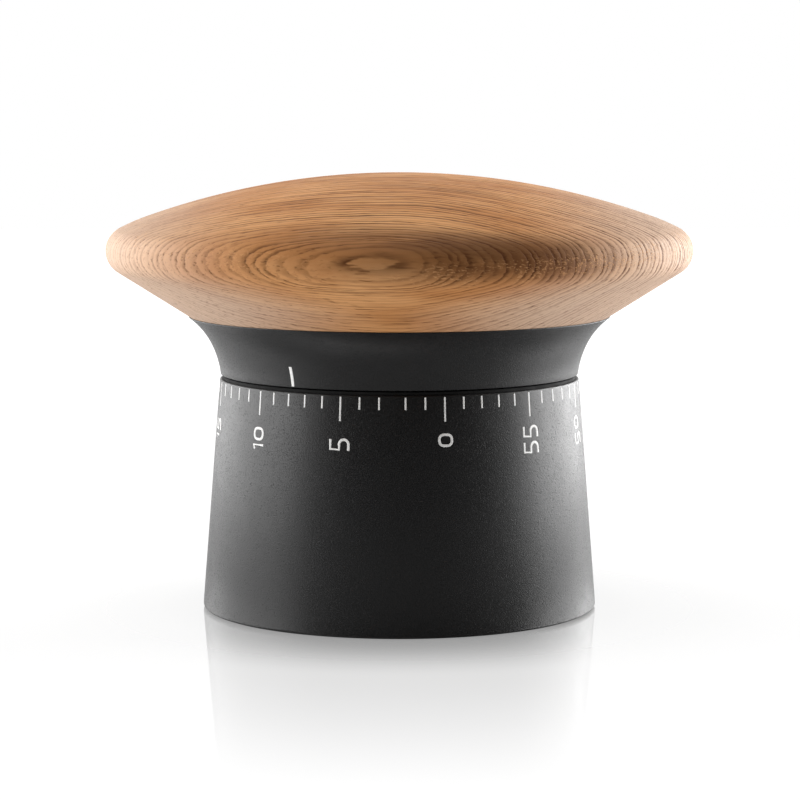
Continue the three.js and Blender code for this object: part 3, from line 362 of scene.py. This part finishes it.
# ---- Meshes ----
def turned(outline, closed):
    """Spins an outline a full turn about the timer's axis."""
    bm = bmesh.new()
    verts = [bm.verts.new((radius, 0.0, height)) for radius, height in outline]
    ends = verts[1:] + verts[:1] if closed else verts[1:]
    edges = [bm.edges.new(pair) for pair in zip(verts, ends)]
    bmesh.ops.spin(
        bm, geom=verts + edges, cent=(0, 0, 0), axis=(0, 0, 1), dvec=(0, 0, 0),
        angle=2 * math.pi, steps=ROUND_STEPS, use_merge=True,
        use_normal_flip=False, use_duplicate=False)
    bmesh.ops.remove_doubles(bm, verts=bm.verts, dist=DOUBLES)
    bmesh.ops.recalc_face_normals(bm, faces=bm.faces)
    mesh = bpy.data.meshes.new("turned")
    bm.to_mesh(mesh)
    bm.free()
    return mesh


def add_piece(name, mesh, material, body, slot, *replaced):
    """Makes a finished mesh into a piece that rides on a body."""
    mesh.name = name
    mesh.shade_smooth()
    mesh.set_sharp_from_angle(angle=SHARP_EDGE)
    mesh.materials.clear()
    mesh.materials.append(material)
    piece = bpy.data.objects.new(name, mesh)
    bpy.context.scene.collection.objects.link(piece)
    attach(piece, body)
    if replaced:
        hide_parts(*replaced)
    return piece


def inked(strokes, width, height, wrap):
    """Strokes of ink, each a run of flat points, laid on a surface that wrap gives.

    wrap takes a point's two flat places and returns its bearing, its radius and its height.
    """
    curve = bpy.data.curves.new("ink", "CURVE")
    curve.dimensions = "3D"
    curve.bevel_depth = width / 2
    curve.bevel_resolution = 1
    curve.use_fill_caps = True
    for stroke in strokes:
        closed = stroke[0] == stroke[-1]
        points = stroke[:-1] if closed else stroke
        spline = curve.splines.new("POLY")
        spline.points.add(len(points) - 1)
        spline.use_cyclic_u = closed
        for point, (across, along) in zip(spline.points, points):
            point.co = (across, along, 0, 1)
    holder = bpy.data.objects.new("ink", curve)
    mesh = bpy.data.meshes.new_from_object(holder)
    bpy.data.objects.remove(holder)
    for vert in mesh.vertices:
        bearing, radius, level = wrap(vert.co.x, vert.co.y)
        radius += height * vert.co.z / (width / 2)
        vert.co = (radius * math.cos(bearing), radius * math.sin(bearing), level)
    return welded(mesh)


def welded(mesh):
    """The mesh with its doubles merged and its faces outwards."""
    bm = bmesh.new()
    bm.from_mesh(mesh)
    bmesh.ops.remove_doubles(bm, verts=bm.verts, dist=DOUBLES)
    bmesh.ops.recalc_face_normals(bm, faces=bm.faces)
    bm.to_mesh(mesh)
    bm.free()
    return mesh


def joined(meshes):
    """One mesh of several."""
    bm = bmesh.new()
    for mesh in meshes:
        bm.from_mesh(mesh)
        bpy.data.meshes.remove(mesh)
    whole = bpy.data.meshes.new("joined")
    bm.to_mesh(whole)
    bm.free()
    return whole


# ---- Figures, drawn in millimetres from the left end of the baseline ----
FIGURE_GAP = 0.5
X_HEIGHT = 2.5
TAIL = -0.9                  # how far the deep figures hang below the line
DEEP_FIGURES = set("345")


def round_loop(left, right, low, high, radius):
    """A closed upright loop with round corners."""
    loop = []
    corners = [(right, high), (left, high), (left, low), (right, low)]
    for quarter, (across, along) in enumerate(corners):
        centre = (
            across - radius if across == right else across + radius,
            along - radius if along == high else along + radius)
        loop += arc(centre, radius, quarter * math.pi / 2, (quarter + 1) * math.pi / 2, 5)
    return loop + loop[:1]


FIGURES = {                  # width and centre line of each figure
    "0": (2.1, round_loop(0.2, 1.9, 0.24, 2.22, 0.7)),
    "1": (0.9, [(0.05, 2.0), (0.7, 2.3), (0.7, 0.0)]),
    "2": (1.9, arc((0.95, 1.6), 0.7, math.radians(160), math.radians(-38), 12)
          + [(0.2, 0.2), (1.85, 0.2)]),
    "3": (1.9, [(0.2, 2.3), (1.65, 2.3), (0.85, 1.15)]
          + arc((0.85, 0.25), 0.9, math.radians(80), math.radians(-90), 10)
          + [(0.15, -0.65)]),
    "4": (2.1, [(1.45, -0.85), (1.45, 2.3), (0.2, 0.3), (2.0, 0.3)]),
    "5": (2.0, [(1.8, 2.3), (0.3, 2.3), (0.2, 0.85)]
          + arc((1.02, 0.1), 0.76, math.radians(90), math.radians(-90), 12)
          + [(0.1, -0.66)]),
}


def label_strokes(label):
    """A number's strokes turned to read upwards, centred on its mark."""
    low = TAIL if DEEP_FIGURES & set(label) else 0.0
    middle = (low + X_HEIGHT) / 2
    length = sum(FIGURES[figure][0] for figure in label) + FIGURE_GAP * (len(label) - 1)
    start = -length / 2
    strokes = []
    for figure in label:
        width, line = FIGURES[figure]
        strokes.append([((middle - b) * MM, (start + a) * MM) for a, b in line])
        start += width + FIGURE_GAP
    return strokes


def minute_angle(shape, minute):
    """A minute mark's bearing; the printed band's two ends meet after the second minute."""
    step = (2 * math.pi - shape.band_seam) / MINUTES
    seam = shape.band_seam if minute > LAST_BEFORE_SEAM else 0.0
    return shape.zero_angle - step * minute - seam


# ---- Materials, with lengths in millimetres ----
RING_RATE = 0.8              # rings to a millimetre of depth into the log
FRONT_DEPTH = 46.0           # depth of the knob's front, where the rings crowd together
CROWD_FADE = 9.0             # how soon the crowding fades away from the front
CROWD_RINGS = 6.0
RING_BOW = -300.0            # the rings' bow across the left half
HEART_BOW = -120.0


class Finish:
    """Builds one material's nodes. Patterns are laid out in millimetres of the piece's own space."""

    def __init__(self, name, **sockets):
        self.material = bpy.data.materials.new(name)
        self.material.use_nodes = True
        self.nodes = self.material.node_tree.nodes
        self.links = self.material.node_tree.links
        self.shader = self.nodes["Principled BSDF"]
        self.set(**sockets)
        space = self.node("TexCoord").outputs["Object"]
        self.place = self.node("VectorMath", {0: space, 3: 1 / MM}, operation="SCALE").outputs[0]

    def set(self, **sockets):
        """Sets or links sockets of the shader; an underscore stands for a space."""
        for name, value in sockets.items():
            self.put(self.shader.inputs[name.replace("_", " ")], value)

    def put(self, socket, value):
        """Gives a socket a link, a colour or a number."""
        if isinstance(value, bpy.types.NodeSocket):
            self.links.new(value, socket)
        elif socket.type == "RGBA":
            socket.default_value = (*value, 1.0)
        else:
            socket.default_value = value

    def node(self, kind, inputs=None, **settings):
        """Adds a node, with its inputs by name or number."""
        node = self.nodes.new("ShaderNode" + kind)
        for name, value in settings.items():
            setattr(node, name, value)
        for name, value in (inputs or {}).items():
            self.put(node.inputs[name], value)
        return node

    def math(self, operation, *values):
        """The result of one step of arithmetic."""
        return self.node("Math", dict(enumerate(values)), operation=operation).outputs[0]

    def noise(self, size, detail=2.0, stretch=(1.0, 1.0, 1.0)):
        """Noise whose features are about size millimetres, longer along an axis by its stretch."""
        scale = tuple(1 / s for s in stretch)
        mapped = self.node("Mapping", {"Vector": self.place, "Scale": scale}).outputs[0]
        noise = self.node("TexNoise", {"Vector": mapped, "Scale": 1 / size, "Detail": detail})
        return noise.outputs[0]

    def line_noise(self, along, size, detail=1.0):
        """Noise that changes along one value alone."""
        inputs = {"W": along, "Scale": 1 / size, "Detail": detail}
        return self.node("TexNoise", inputs, noise_dimensions="1D").outputs[0]

    def ramp(self, value, low, high, start=0.0, end=1.0):
        """The value eased from low..high to start..end."""
        inputs = {"Value": value, "From Min": low, "From Max": high, "To Min": start, "To Max": end}
        return self.node("MapRange", inputs, interpolation_type="SMOOTHSTEP").outputs[0]

    def mix(self, share, first, second):
        """Two colours, mixed by a share of the second."""
        mix = self.node("Mix", data_type="RGBA")
        for index, value in ((0, share), (6, first), (7, second)):
            self.put(mix.inputs[index], value)
        return mix.outputs[2]

    def bump(self, height, depth):
        """Relief of a depth."""
        inputs = {"Height": height, "Distance": depth, "Strength": 1.0}
        self.set(Normal=self.node("Bump", inputs).outputs[0])


def ring_line(make, phase):
    """A dark line for each whole step of phase: a sharp start that fades into the late wood."""
    ring = make.math("FRACT", phase)
    return make.math("MULTIPLY", make.ramp(ring, 0.0, 0.14), make.ramp(ring, 0.14, 0.7, 1.0, 0.0))


def oak(finish):
    """Flat-sawn oak. Its rings curve across the knob and close into ovals where they graze the rim."""
    make = Finish("oiled_oak", IOR=1.46, Specular_IOR_Level=0.08)
    math_of = make.math
    axes = make.node("SeparateXYZ", {0: make.place}).outputs
    x, y, z = axes[0], axes[1], axes[2]

    # Depth into the log, in millimetres: a ring lies at one depth
    left = math_of("MINIMUM", x, 0.0)
    right = math_of("MAXIMUM", x, 0.0)
    bow = math_of("DIVIDE", math_of("MULTIPLY", left, left), RING_BOW)
    veer = math_of("DIVIDE", math_of("MULTIPLY", right, right), math_of("MULTIPLY_ADD", right, 5.0, 40.0))
    tilt = math_of("MULTIPLY_ADD", x, 0.06, math_of("MULTIPLY_ADD", z, -0.1, 5.8))
    sway = math_of("MULTIPLY", math_of("SUBTRACT", make.noise(26, 1.0), 0.5), 3.0)
    wobble = math_of("MULTIPLY", math_of("SUBTRACT", make.noise(5, 1.5, (2.2, 1, 1)), 0.5), 1.0)
    ragged = math_of("MULTIPLY_ADD", make.noise(0.7, 2.0, (5, 1, 1)), 0.44, -0.22)
    depth = y
    for part in (bow, veer, tilt, sway, wobble, ragged):
        depth = math_of("ADD", depth, part)

    # Ring lines, which crowd together towards the front and fade on the underside and at the left
    crowd = math_of("EXPONENT", math_of("MULTIPLY_ADD", depth, -1 / CROWD_FADE, -FRONT_DEPTH / CROWD_FADE))
    uneven = math_of("MULTIPLY", make.line_noise(depth, 2.6), 1.7)
    pace = math_of("MULTIPLY_ADD", crowd, -CROWD_RINGS, uneven)
    phase = math_of("MULTIPLY_ADD", depth, RING_RATE, pace)
    early = ring_line(make, phase)
    force = make.ramp(make.line_noise(depth, 1.7), 0.34, 0.6, 0.45, 1.0)
    broken = make.ramp(make.noise(1.4, 3.0, (9, 1, 1)), 0.34, 0.6, 0.4, 1.0)
    under = make.ramp(z, 52.0, 57.5, 0.5, 1.0)
    faint = make.ramp(x, -44.0, -6.0, 0.45, 1.0)
    line = early
    for part in (force, broken, under, faint):
        line = math_of("MULTIPLY", line, part)

    # The dark heart behind the front of the rim, and long faint streaks
    core = math_of("DIVIDE", math_of("MULTIPLY", x, x), HEART_BOW)
    for part in (y, tilt, sway):
        core = math_of("ADD", core, part)
    heart = math_of("MULTIPLY", make.ramp(core, -50.0, -46.0), make.ramp(core, -45.0, -39.0, 1.0, 0.0))
    mottle = make.ramp(make.noise(3.5, 3.0, (4, 1, 1)), 0.25, 0.6, 0.45, 1.0)
    left_end = make.ramp(x, -30.0, 8.0)
    low_end = make.ramp(z, 54.5, 58.5)
    right_end = make.ramp(x, 36.0, 44.0, 1.0, 0.0)
    for part in (left_end, low_end, right_end, mottle):
        heart = math_of("MULTIPLY", heart, part)
    streak = make.ramp(make.line_noise(depth, 6.0, 2.0), 0.45, 0.7)
    streak = math_of("MULTIPLY", streak, make.ramp(make.noise(14, 1.0, (3, 1, 1)), 0.4, 0.6))

    # Fibres, open pores, torn pale flecks along the ridge of the rim, and paler ends, partly dry end grain
    # and partly a painted highlight of the side lights and the floor
    fibre = make.noise(0.5, 3.0, (16, 1, 1))
    pore = make.ramp(make.noise(0.34, 1.0, (11, 1, 1)), 0.58, 0.68)
    pore = math_of("MULTIPLY", pore, math_of("MULTIPLY_ADD", early, 0.6, 0.3))
    cloud = make.noise(9, 2.0, (3, 1, 1))
    along = math_of("ADD", x, -5.0)
    centre = math_of("MULTIPLY_ADD", math_of("MULTIPLY", along, along), 0.0022, 57.0)
    away = math_of("ABSOLUTE", math_of("SUBTRACT", z, centre))
    ridge = make.ramp(away, 0.8, 2.6, 1.0, 0.0)
    patch = make.ramp(make.noise(5, 2.0, (2, 1, 1)), 0.42, 0.58)
    fleck = math_of("MULTIPLY", make.ramp(make.noise(0.28, 3.0, (2.6, 1, 1)), 0.52, 0.64), patch)
    fleck = math_of("MULTIPLY", fleck, ridge)
    # Paler towards the left and right ends, and more so on the underside: partly dry end grain, partly a
    # painted highlight of the side lights and the glowing floor
    off_centre = math_of("ABSOLUTE", math_of("ADD", x, 2.0))
    reach = math_of("ADD", off_centre, make.ramp(z, 50.0, 58.0, 19.0, 0.0))
    end_grain_and_highlight = make.ramp(reach, 18.0, 46.0, 0.0, 0.85)

    # Colour, gloss and relief
    base = make.mix(make.ramp(cloud, 0.3, 0.7), finish.oak_pale, finish.oak_warm)
    base = make.mix(math_of("MULTIPLY", make.ramp(fibre, 0.35, 0.75), 0.4), base, finish.oak_warm)
    base = make.mix(math_of("MULTIPLY", streak, 0.25), base, finish.oak_dark)
    # End oak mixed in: partly dry end grain, partly a painted highlight
    base = make.mix(end_grain_and_highlight, base, finish.oak_tip)
    base = make.mix(math_of("MULTIPLY", heart, 0.8), base, finish.oak_dark)
    base = make.mix(math_of("MULTIPLY", line, 0.9), base, finish.oak_dark)
    base = make.mix(math_of("MULTIPLY", pore, 0.6), base, finish.oak_dark)
    base = make.mix(math_of("MULTIPLY", fleck, 0.45), base, finish.oak_pale)
    make.set(Base_Color=base)
    make.set(Roughness=make.ramp(fibre, 0.2, 0.8, 0.48, 0.66))
    relief = math_of("MULTIPLY_ADD", line, -0.5, math_of("MULTIPLY", pore, -0.5))
    relief = math_of("ADD", relief, math_of("MULTIPLY_ADD", fleck, 0.4, math_of("MULTIPLY", fibre, 0.25)))
    make.bump(relief, 0.09 * MM)
    return make.material


def moulded_plastic(finish):
    """Matt black plastic with a fine spark-eroded grain."""
    make = Finish("matt_black_plastic", IOR=1.5, Specular_IOR_Level=0.5)
    grain = make.noise(0.17, 2.0)
    pits = make.ramp(make.noise(0.24, 2.0), 0.54, 0.7)
    cloud = make.noise(5, 3.0)
    lighter = [min(1.0, 2.0 * channel) for channel in finish.plastic]
    make.set(Base_Color=make.mix(make.ramp(grain, 0.4, 0.75), finish.plastic, lighter))
    rough = make.math("MULTIPLY_ADD", pits, 0.22, make.ramp(grain, 0.3, 0.7, 0.30, 0.42))
    make.set(Roughness=make.math("MULTIPLY_ADD", cloud, 0.1, rough))
    make.bump(make.math("MULTIPLY_ADD", pits, -0.6, grain), 0.018 * MM)
    return make.material


def printed_ink(finish):
    """Pale pad-printed ink, a little uneven."""
    make = Finish("printed_ink", IOR=1.45, Specular_IOR_Level=0.3)
    wear = make.noise(0.35, 3.0)
    thin = [0.86 * channel for channel in finish.ink]
    make.set(Base_Color=make.mix(make.ramp(wear, 0.45, 0.75), finish.ink, thin))
    make.set(Roughness=make.ramp(wear, 0.3, 0.7, 0.5, 0.65))
    make.bump(wear, 0.01 * MM)
    return make.material


def soft_rubber(finish):
    """Matt rubber with a dusty bloom."""
    make = Finish("soft_rubber", IOR=1.5, Specular_IOR_Level=0.25)
    bloom = make.noise(1.6, 4.0)
    dusty = [1.9 * channel for channel in finish.rubber]
    make.set(Base_Color=make.mix(make.ramp(bloom, 0.4, 0.7), finish.rubber, dusty))
    make.set(Roughness=make.ramp(bloom, 0.3, 0.7, 0.75, 0.92))
    make.bump(make.noise(0.3, 2.0), 0.03 * MM)
    return make.material


def metal(name, tint, roughness, grain, depth):
    """Metal with tool marks, whose grain is a size and the stretch of its noise."""
    make = Finish(name, Metallic=1.0)
    marks = make.noise(grain[0], 3.0, grain[1])
    stain = make.noise(6, 3.0)
    dull = [0.72 * channel for channel in tint]
    make.set(Base_Color=make.mix(make.ramp(stain, 0.4, 0.75), tint, dull))
    worn = make.math("MULTIPLY_ADD", make.ramp(marks, 0.3, 0.7), 0.12, roughness)
    make.set(Roughness=make.math("MULTIPLY_ADD", stain, 0.08, worn))
    make.bump(marks, depth)
    return make.material


def frame_finishes(finish):
    """A material for each slot of the frame's own pieces."""
    brushed = (0.25, (14.0, 1.0, 1.0))
    turned_marks = (0.2, (6.0, 6.0, 0.6))
    fine = (0.5, (1.0, 1.0, 1.0))
    return {
        "black_plastic": moulded_plastic(finish),
        "brass": metal("brushed_brass", finish.brass, 0.24, brushed, 0.02 * MM),
        "steel": metal("turned_steel", finish.steel, 0.22, turned_marks, 0.015 * MM),
        "bell_steel": metal("plated_bell", finish.plated, 0.12, fine, 0.01 * MM),
        "spring_steel": metal("blued_steel", finish.blued, 0.2, fine, 0.01 * MM),
    }


# ---- Operators ----
class TimerStep:
    """What the timer's operators share."""

    bl_options = {"REGISTER", "UNDO"}

    @property
    def shape(self):
        return bpy.context.scene.timer_shape

    @property
    def finish(self):
        return bpy.context.scene.timer_finish


class TIMER_OT_knob(TimerStep, bpy.types.Operator):
    """Turn the oak knob"""

    bl_idname = "timer.knob"
    bl_label = "Oak knob"

    def execute(self, context):
        mesh = turned(knob_outline(self.shape), closed=False)
        add_piece("oak_knob", mesh, oak(self.finish), "knob", "oak", "wooden_knob")
        return {"FINISHED"}


class TIMER_OT_collar(TimerStep, bpy.types.Operator):
    """Mould the flared collar and print its pointer"""

    bl_idname = "timer.collar"
    bl_label = "Collar and pointer"

    def execute(self, context):
        shape = self.shape
        plastic = moulded_plastic(self.finish)
        mesh = turned(collar_outline(shape), closed=False)
        add_piece("flared_collar", mesh, plastic, "knob", "black_plastic", "knob_collar")

        def wrap(across, along):
            radius = flare_radius(shape, along)
            return shape.pointer_angle + across / radius, radius, along

        low = COLLAR_LOW.z + EDGE_ROUND - POINTER_DROP
        step = shape.pointer_length / POINTER_STEPS
        line = [(0.0, low + step * i) for i in range(POINTER_STEPS + 1)]
        mesh = inked([line], shape.pointer_width, shape.ink_height, wrap)
        add_piece("pointer_line", mesh, printed_ink(self.finish), "knob", "scale_print")
        return {"FINISHED"}


class TIMER_OT_body(TimerStep, bpy.types.Operator):
    """Mould the tapered body"""

    bl_idname = "timer.body"
    bl_label = "Body"

    def execute(self, context):
        mesh = turned(shell_outline(self.shape), closed=True)
        plastic = moulded_plastic(self.finish)
        add_piece("timer_body", mesh, plastic, "body", "black_plastic", "body_shell")
        return {"FINISHED"}


class TIMER_OT_scale(TimerStep, bpy.types.Operator):
    """Print the minute marks and the figures on the body"""

    bl_idname = "timer.scale"
    bl_label = "Minute scale"

    def execute(self, context):
        shape = self.shape
        top = BODY_TOP - EDGE_ROUND
        marks, figures = [], []
        for minute in range(MINUTES):
            numbered = minute % FIGURE_EVERY == 0
            bearing = minute_angle(shape, minute)

            def wrap(across, along, bearing=bearing):
                radius = shell_radius(shape, along)
                return bearing + across / radius, radius, along

            length = shape.long_tick if numbered else shape.short_tick
            mark = [[(0.0, top), (0.0, top - length)]]
            marks.append(inked(mark, shape.tick_width, shape.ink_height, wrap))
            if numbered:
                level = shape.figure_level if minute else shape.zero_level
                strokes = [
                    [(across, along + level) for across, along in stroke]
                    for stroke in label_strokes(str(minute))
                ]
                figures.append(inked(strokes, shape.figure_width, shape.ink_height, wrap))
        ink = printed_ink(self.finish)
        add_piece("minute_marks", joined(marks), ink, "body", "scale_print")
        add_piece("minute_figures", joined(figures), ink, "body", "scale_print")
        return {"FINISHED"}


class TIMER_OT_rings(TimerStep, bpy.types.Operator):
    """Mould the rubber foot and the soft washer under the collar"""

    bl_idname = "timer.rings"
    bl_label = "Rubber foot and washer"

    def execute(self, context):
        rubber = soft_rubber(self.finish)
        foot = turned(foot_outline(), closed=True)
        add_piece("rubber_foot", foot, rubber, "body", "rubber", "foot_ring")
        washer = turned(washer_outline(), closed=True)
        add_piece("soft_washer", washer, rubber, "body", "rubber", "glide_washer")
        return {"FINISHED"}


class TIMER_OT_movement(TimerStep, bpy.types.Operator):
    """Finish the frame's own pieces: the base cover, the screws and the whole movement"""

    bl_idname = "timer.movement"
    bl_label = "Movement and base cover"

    def execute(self, context):
        finishes = frame_finishes(self.finish)
        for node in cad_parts.values():
            slot = node.material_slots[0]
            if slot.material.name in finishes:
                slot.material = finishes[slot.material.name]
        return {"FINISHED"}


def softbox(name, place, size, power, aim):
    """A rectangular light that faces a point and isn't seen itself."""
    light = bpy.data.lights.new(name, "AREA")
    light.shape = "RECTANGLE"
    light.size, light.size_y = size
    light.energy = power
    lamp = bpy.data.objects.new(name, light)
    lamp.location = place
    lamp.rotation_euler = (Vector(aim) - lamp.location).to_track_quat("-Z", "Y").to_euler()
    lamp.visible_camera = False
    bpy.context.scene.collection.objects.link(lamp)


def glossy_floor():
    """White floor that glows a little as painted light, dimmer near the timer as painted shade with a
    painted contact shadow at the foot; its mirror gloss fades out round the timer as a painted reflection
    fade, near the foot also painted contact shadow, and reflections see its glow dimmed towards the front
    as painted shade.
    """
    make = Finish("white_floor_painted_glow_and_reflection", Roughness=0.9, Specular_IOR_Level=0.0)
    reach = make.node("VectorMath", {0: make.place}, operation="LENGTH").outputs["Value"]
    # Mirror share fading with reach from the timer: a painted reflection fade, near the foot also a
    # painted contact shadow
    near = make.ramp(reach, *NEAR_PAINTED_REFLECTION_AND_SHADOW)
    far = make.ramp(reach, *FAR_PAINTED_REFLECTION)
    speck = make.ramp(make.noise(40, 2.0), 0.3, 0.7, 0.96, 1.0)
    make.set(Base_Color=make.mix(speck, (0.17, 0.17, 0.17), (0.19, 0.19, 0.19)))
    # The floor glows as painted light, dimmer near the timer as painted shade, with a painted contact
    # shadow round the foot
    glow = make.ramp(reach, *FLOOR_GLOW)
    glow = make.math("ADD", glow, make.ramp(reach, *CONTACT_SHADE))
    # Painted shade: reflections see the floor's glow dimmed, most at the front, so the timer's front looks
    # darker
    behind = make.node("SeparateXYZ", {0: make.place}).outputs[1]
    reflected_shade = make.ramp(behind, *REFLECTED_PAINTED_SHADE)
    dim = make.math("MULTIPLY_ADD", make.node("LightPath").outputs["Is Glossy Ray"], reflected_shade, 1.0)
    glow = make.math("MULTIPLY", glow, dim)
    make.set(Emission_Color=(1.0, 1.0, 1.0), Emission_Strength=glow)
    mirror = make.node("BsdfGlossy", {"Roughness": 0.06})
    both = make.node("MixShader", {0: make.math("ADD", near, far)})
    make.links.new(make.shader.outputs[0], both.inputs[1])
    make.links.new(mirror.outputs[0], both.inputs[2])
    make.links.new(both.outputs[0], make.nodes["Material Output"].inputs["Surface"])
    return make.material


class TIMER_OT_stage(TimerStep, bpy.types.Operator):
    """Set the floor, the studio light and the camera"""

    bl_idname = "timer.stage"
    bl_label = "Stage"

    def execute(self, context):
        scene = context.scene
        bm = bmesh.new()
        bmesh.ops.create_grid(bm, x_segments=1, y_segments=1, size=FLOOR_HALF)
        mesh = bpy.data.meshes.new("floor")
        bm.to_mesh(mesh)
        bm.free()
        mesh.materials.append(glossy_floor())
        floor = bpy.data.objects.new("floor", mesh)
        scene.collection.objects.link(floor)

        for light in LIGHTS:
            softbox(*light)

        world = bpy.data.worlds.new("studio")
        world.use_nodes = True
        nodes = world.node_tree.nodes
        links = world.node_tree.links
        seen = nodes["Background"]
        seen.inputs["Color"].default_value = WHITE
        fill = nodes.new("ShaderNodeBackground")
        fill.inputs["Color"].default_value = WHITE
        fill.inputs["Strength"].default_value = FILL
        path = nodes.new("ShaderNodeLightPath")
        mix = nodes.new("ShaderNodeMixShader")
        links.new(path.outputs["Is Camera Ray"], mix.inputs[0])
        links.new(fill.outputs[0], mix.inputs[1])
        links.new(seen.outputs[0], mix.inputs[2])
        links.new(mix.outputs[0], nodes["World Output"].inputs["Surface"])
        scene.world = world
        scene.view_settings.view_transform = "Standard"

        lens = bpy.data.cameras.new("camera")
        lens.lens = LENS
        lens.sensor_width = SENSOR
        camera = bpy.data.objects.new("camera", lens)
        camera.location = CAMERA_PLACE
        camera.rotation_euler = (CAMERA_TILT, 0.0, 0.0)
        scene.collection.objects.link(camera)
        scene.camera = camera
        return {"FINISHED"}


PIECES = (
    TIMER_OT_knob, TIMER_OT_collar, TIMER_OT_body, TIMER_OT_scale,
    TIMER_OT_rings, TIMER_OT_movement, TIMER_OT_stage,
)


class TIMER_PT_panel(bpy.types.Panel):
    """Lists the timer's pieces, sizes and colours"""

    bl_label = "Kitchen timer"
    bl_idname = "TIMER_PT_panel"
    bl_space_type = "VIEW_3D"
    bl_region_type = "UI"
    bl_category = "Timer"

    def draw(self, context):
        for operator in PIECES:
            self.layout.operator(operator.bl_idname)
        for group in (context.scene.timer_shape, context.scene.timer_finish):
            column = self.layout.column()
            for name in group.bl_rna.properties.keys():
                if name not in {"rna_type", "name"}:
                    column.prop(group, name)


CLASSES = (TimerShape, TimerFinish, *PIECES, TIMER_PT_panel)


def register():
    for cls in CLASSES:
        bpy.utils.register_class(cls)
    bpy.types.Scene.timer_shape = PointerProperty(type=TimerShape)
    bpy.types.Scene.timer_finish = PointerProperty(type=TimerFinish)


def unregister():
    del bpy.types.Scene.timer_finish
    del bpy.types.Scene.timer_shape
    for cls in reversed(CLASSES):
        bpy.utils.unregister_class(cls)


def main():
    register()
    for operator in PIECES:
        group, name = operator.bl_idname.split(".")
        getattr(getattr(bpy.ops, group), name)()


if __name__ == "__main__":
    main()
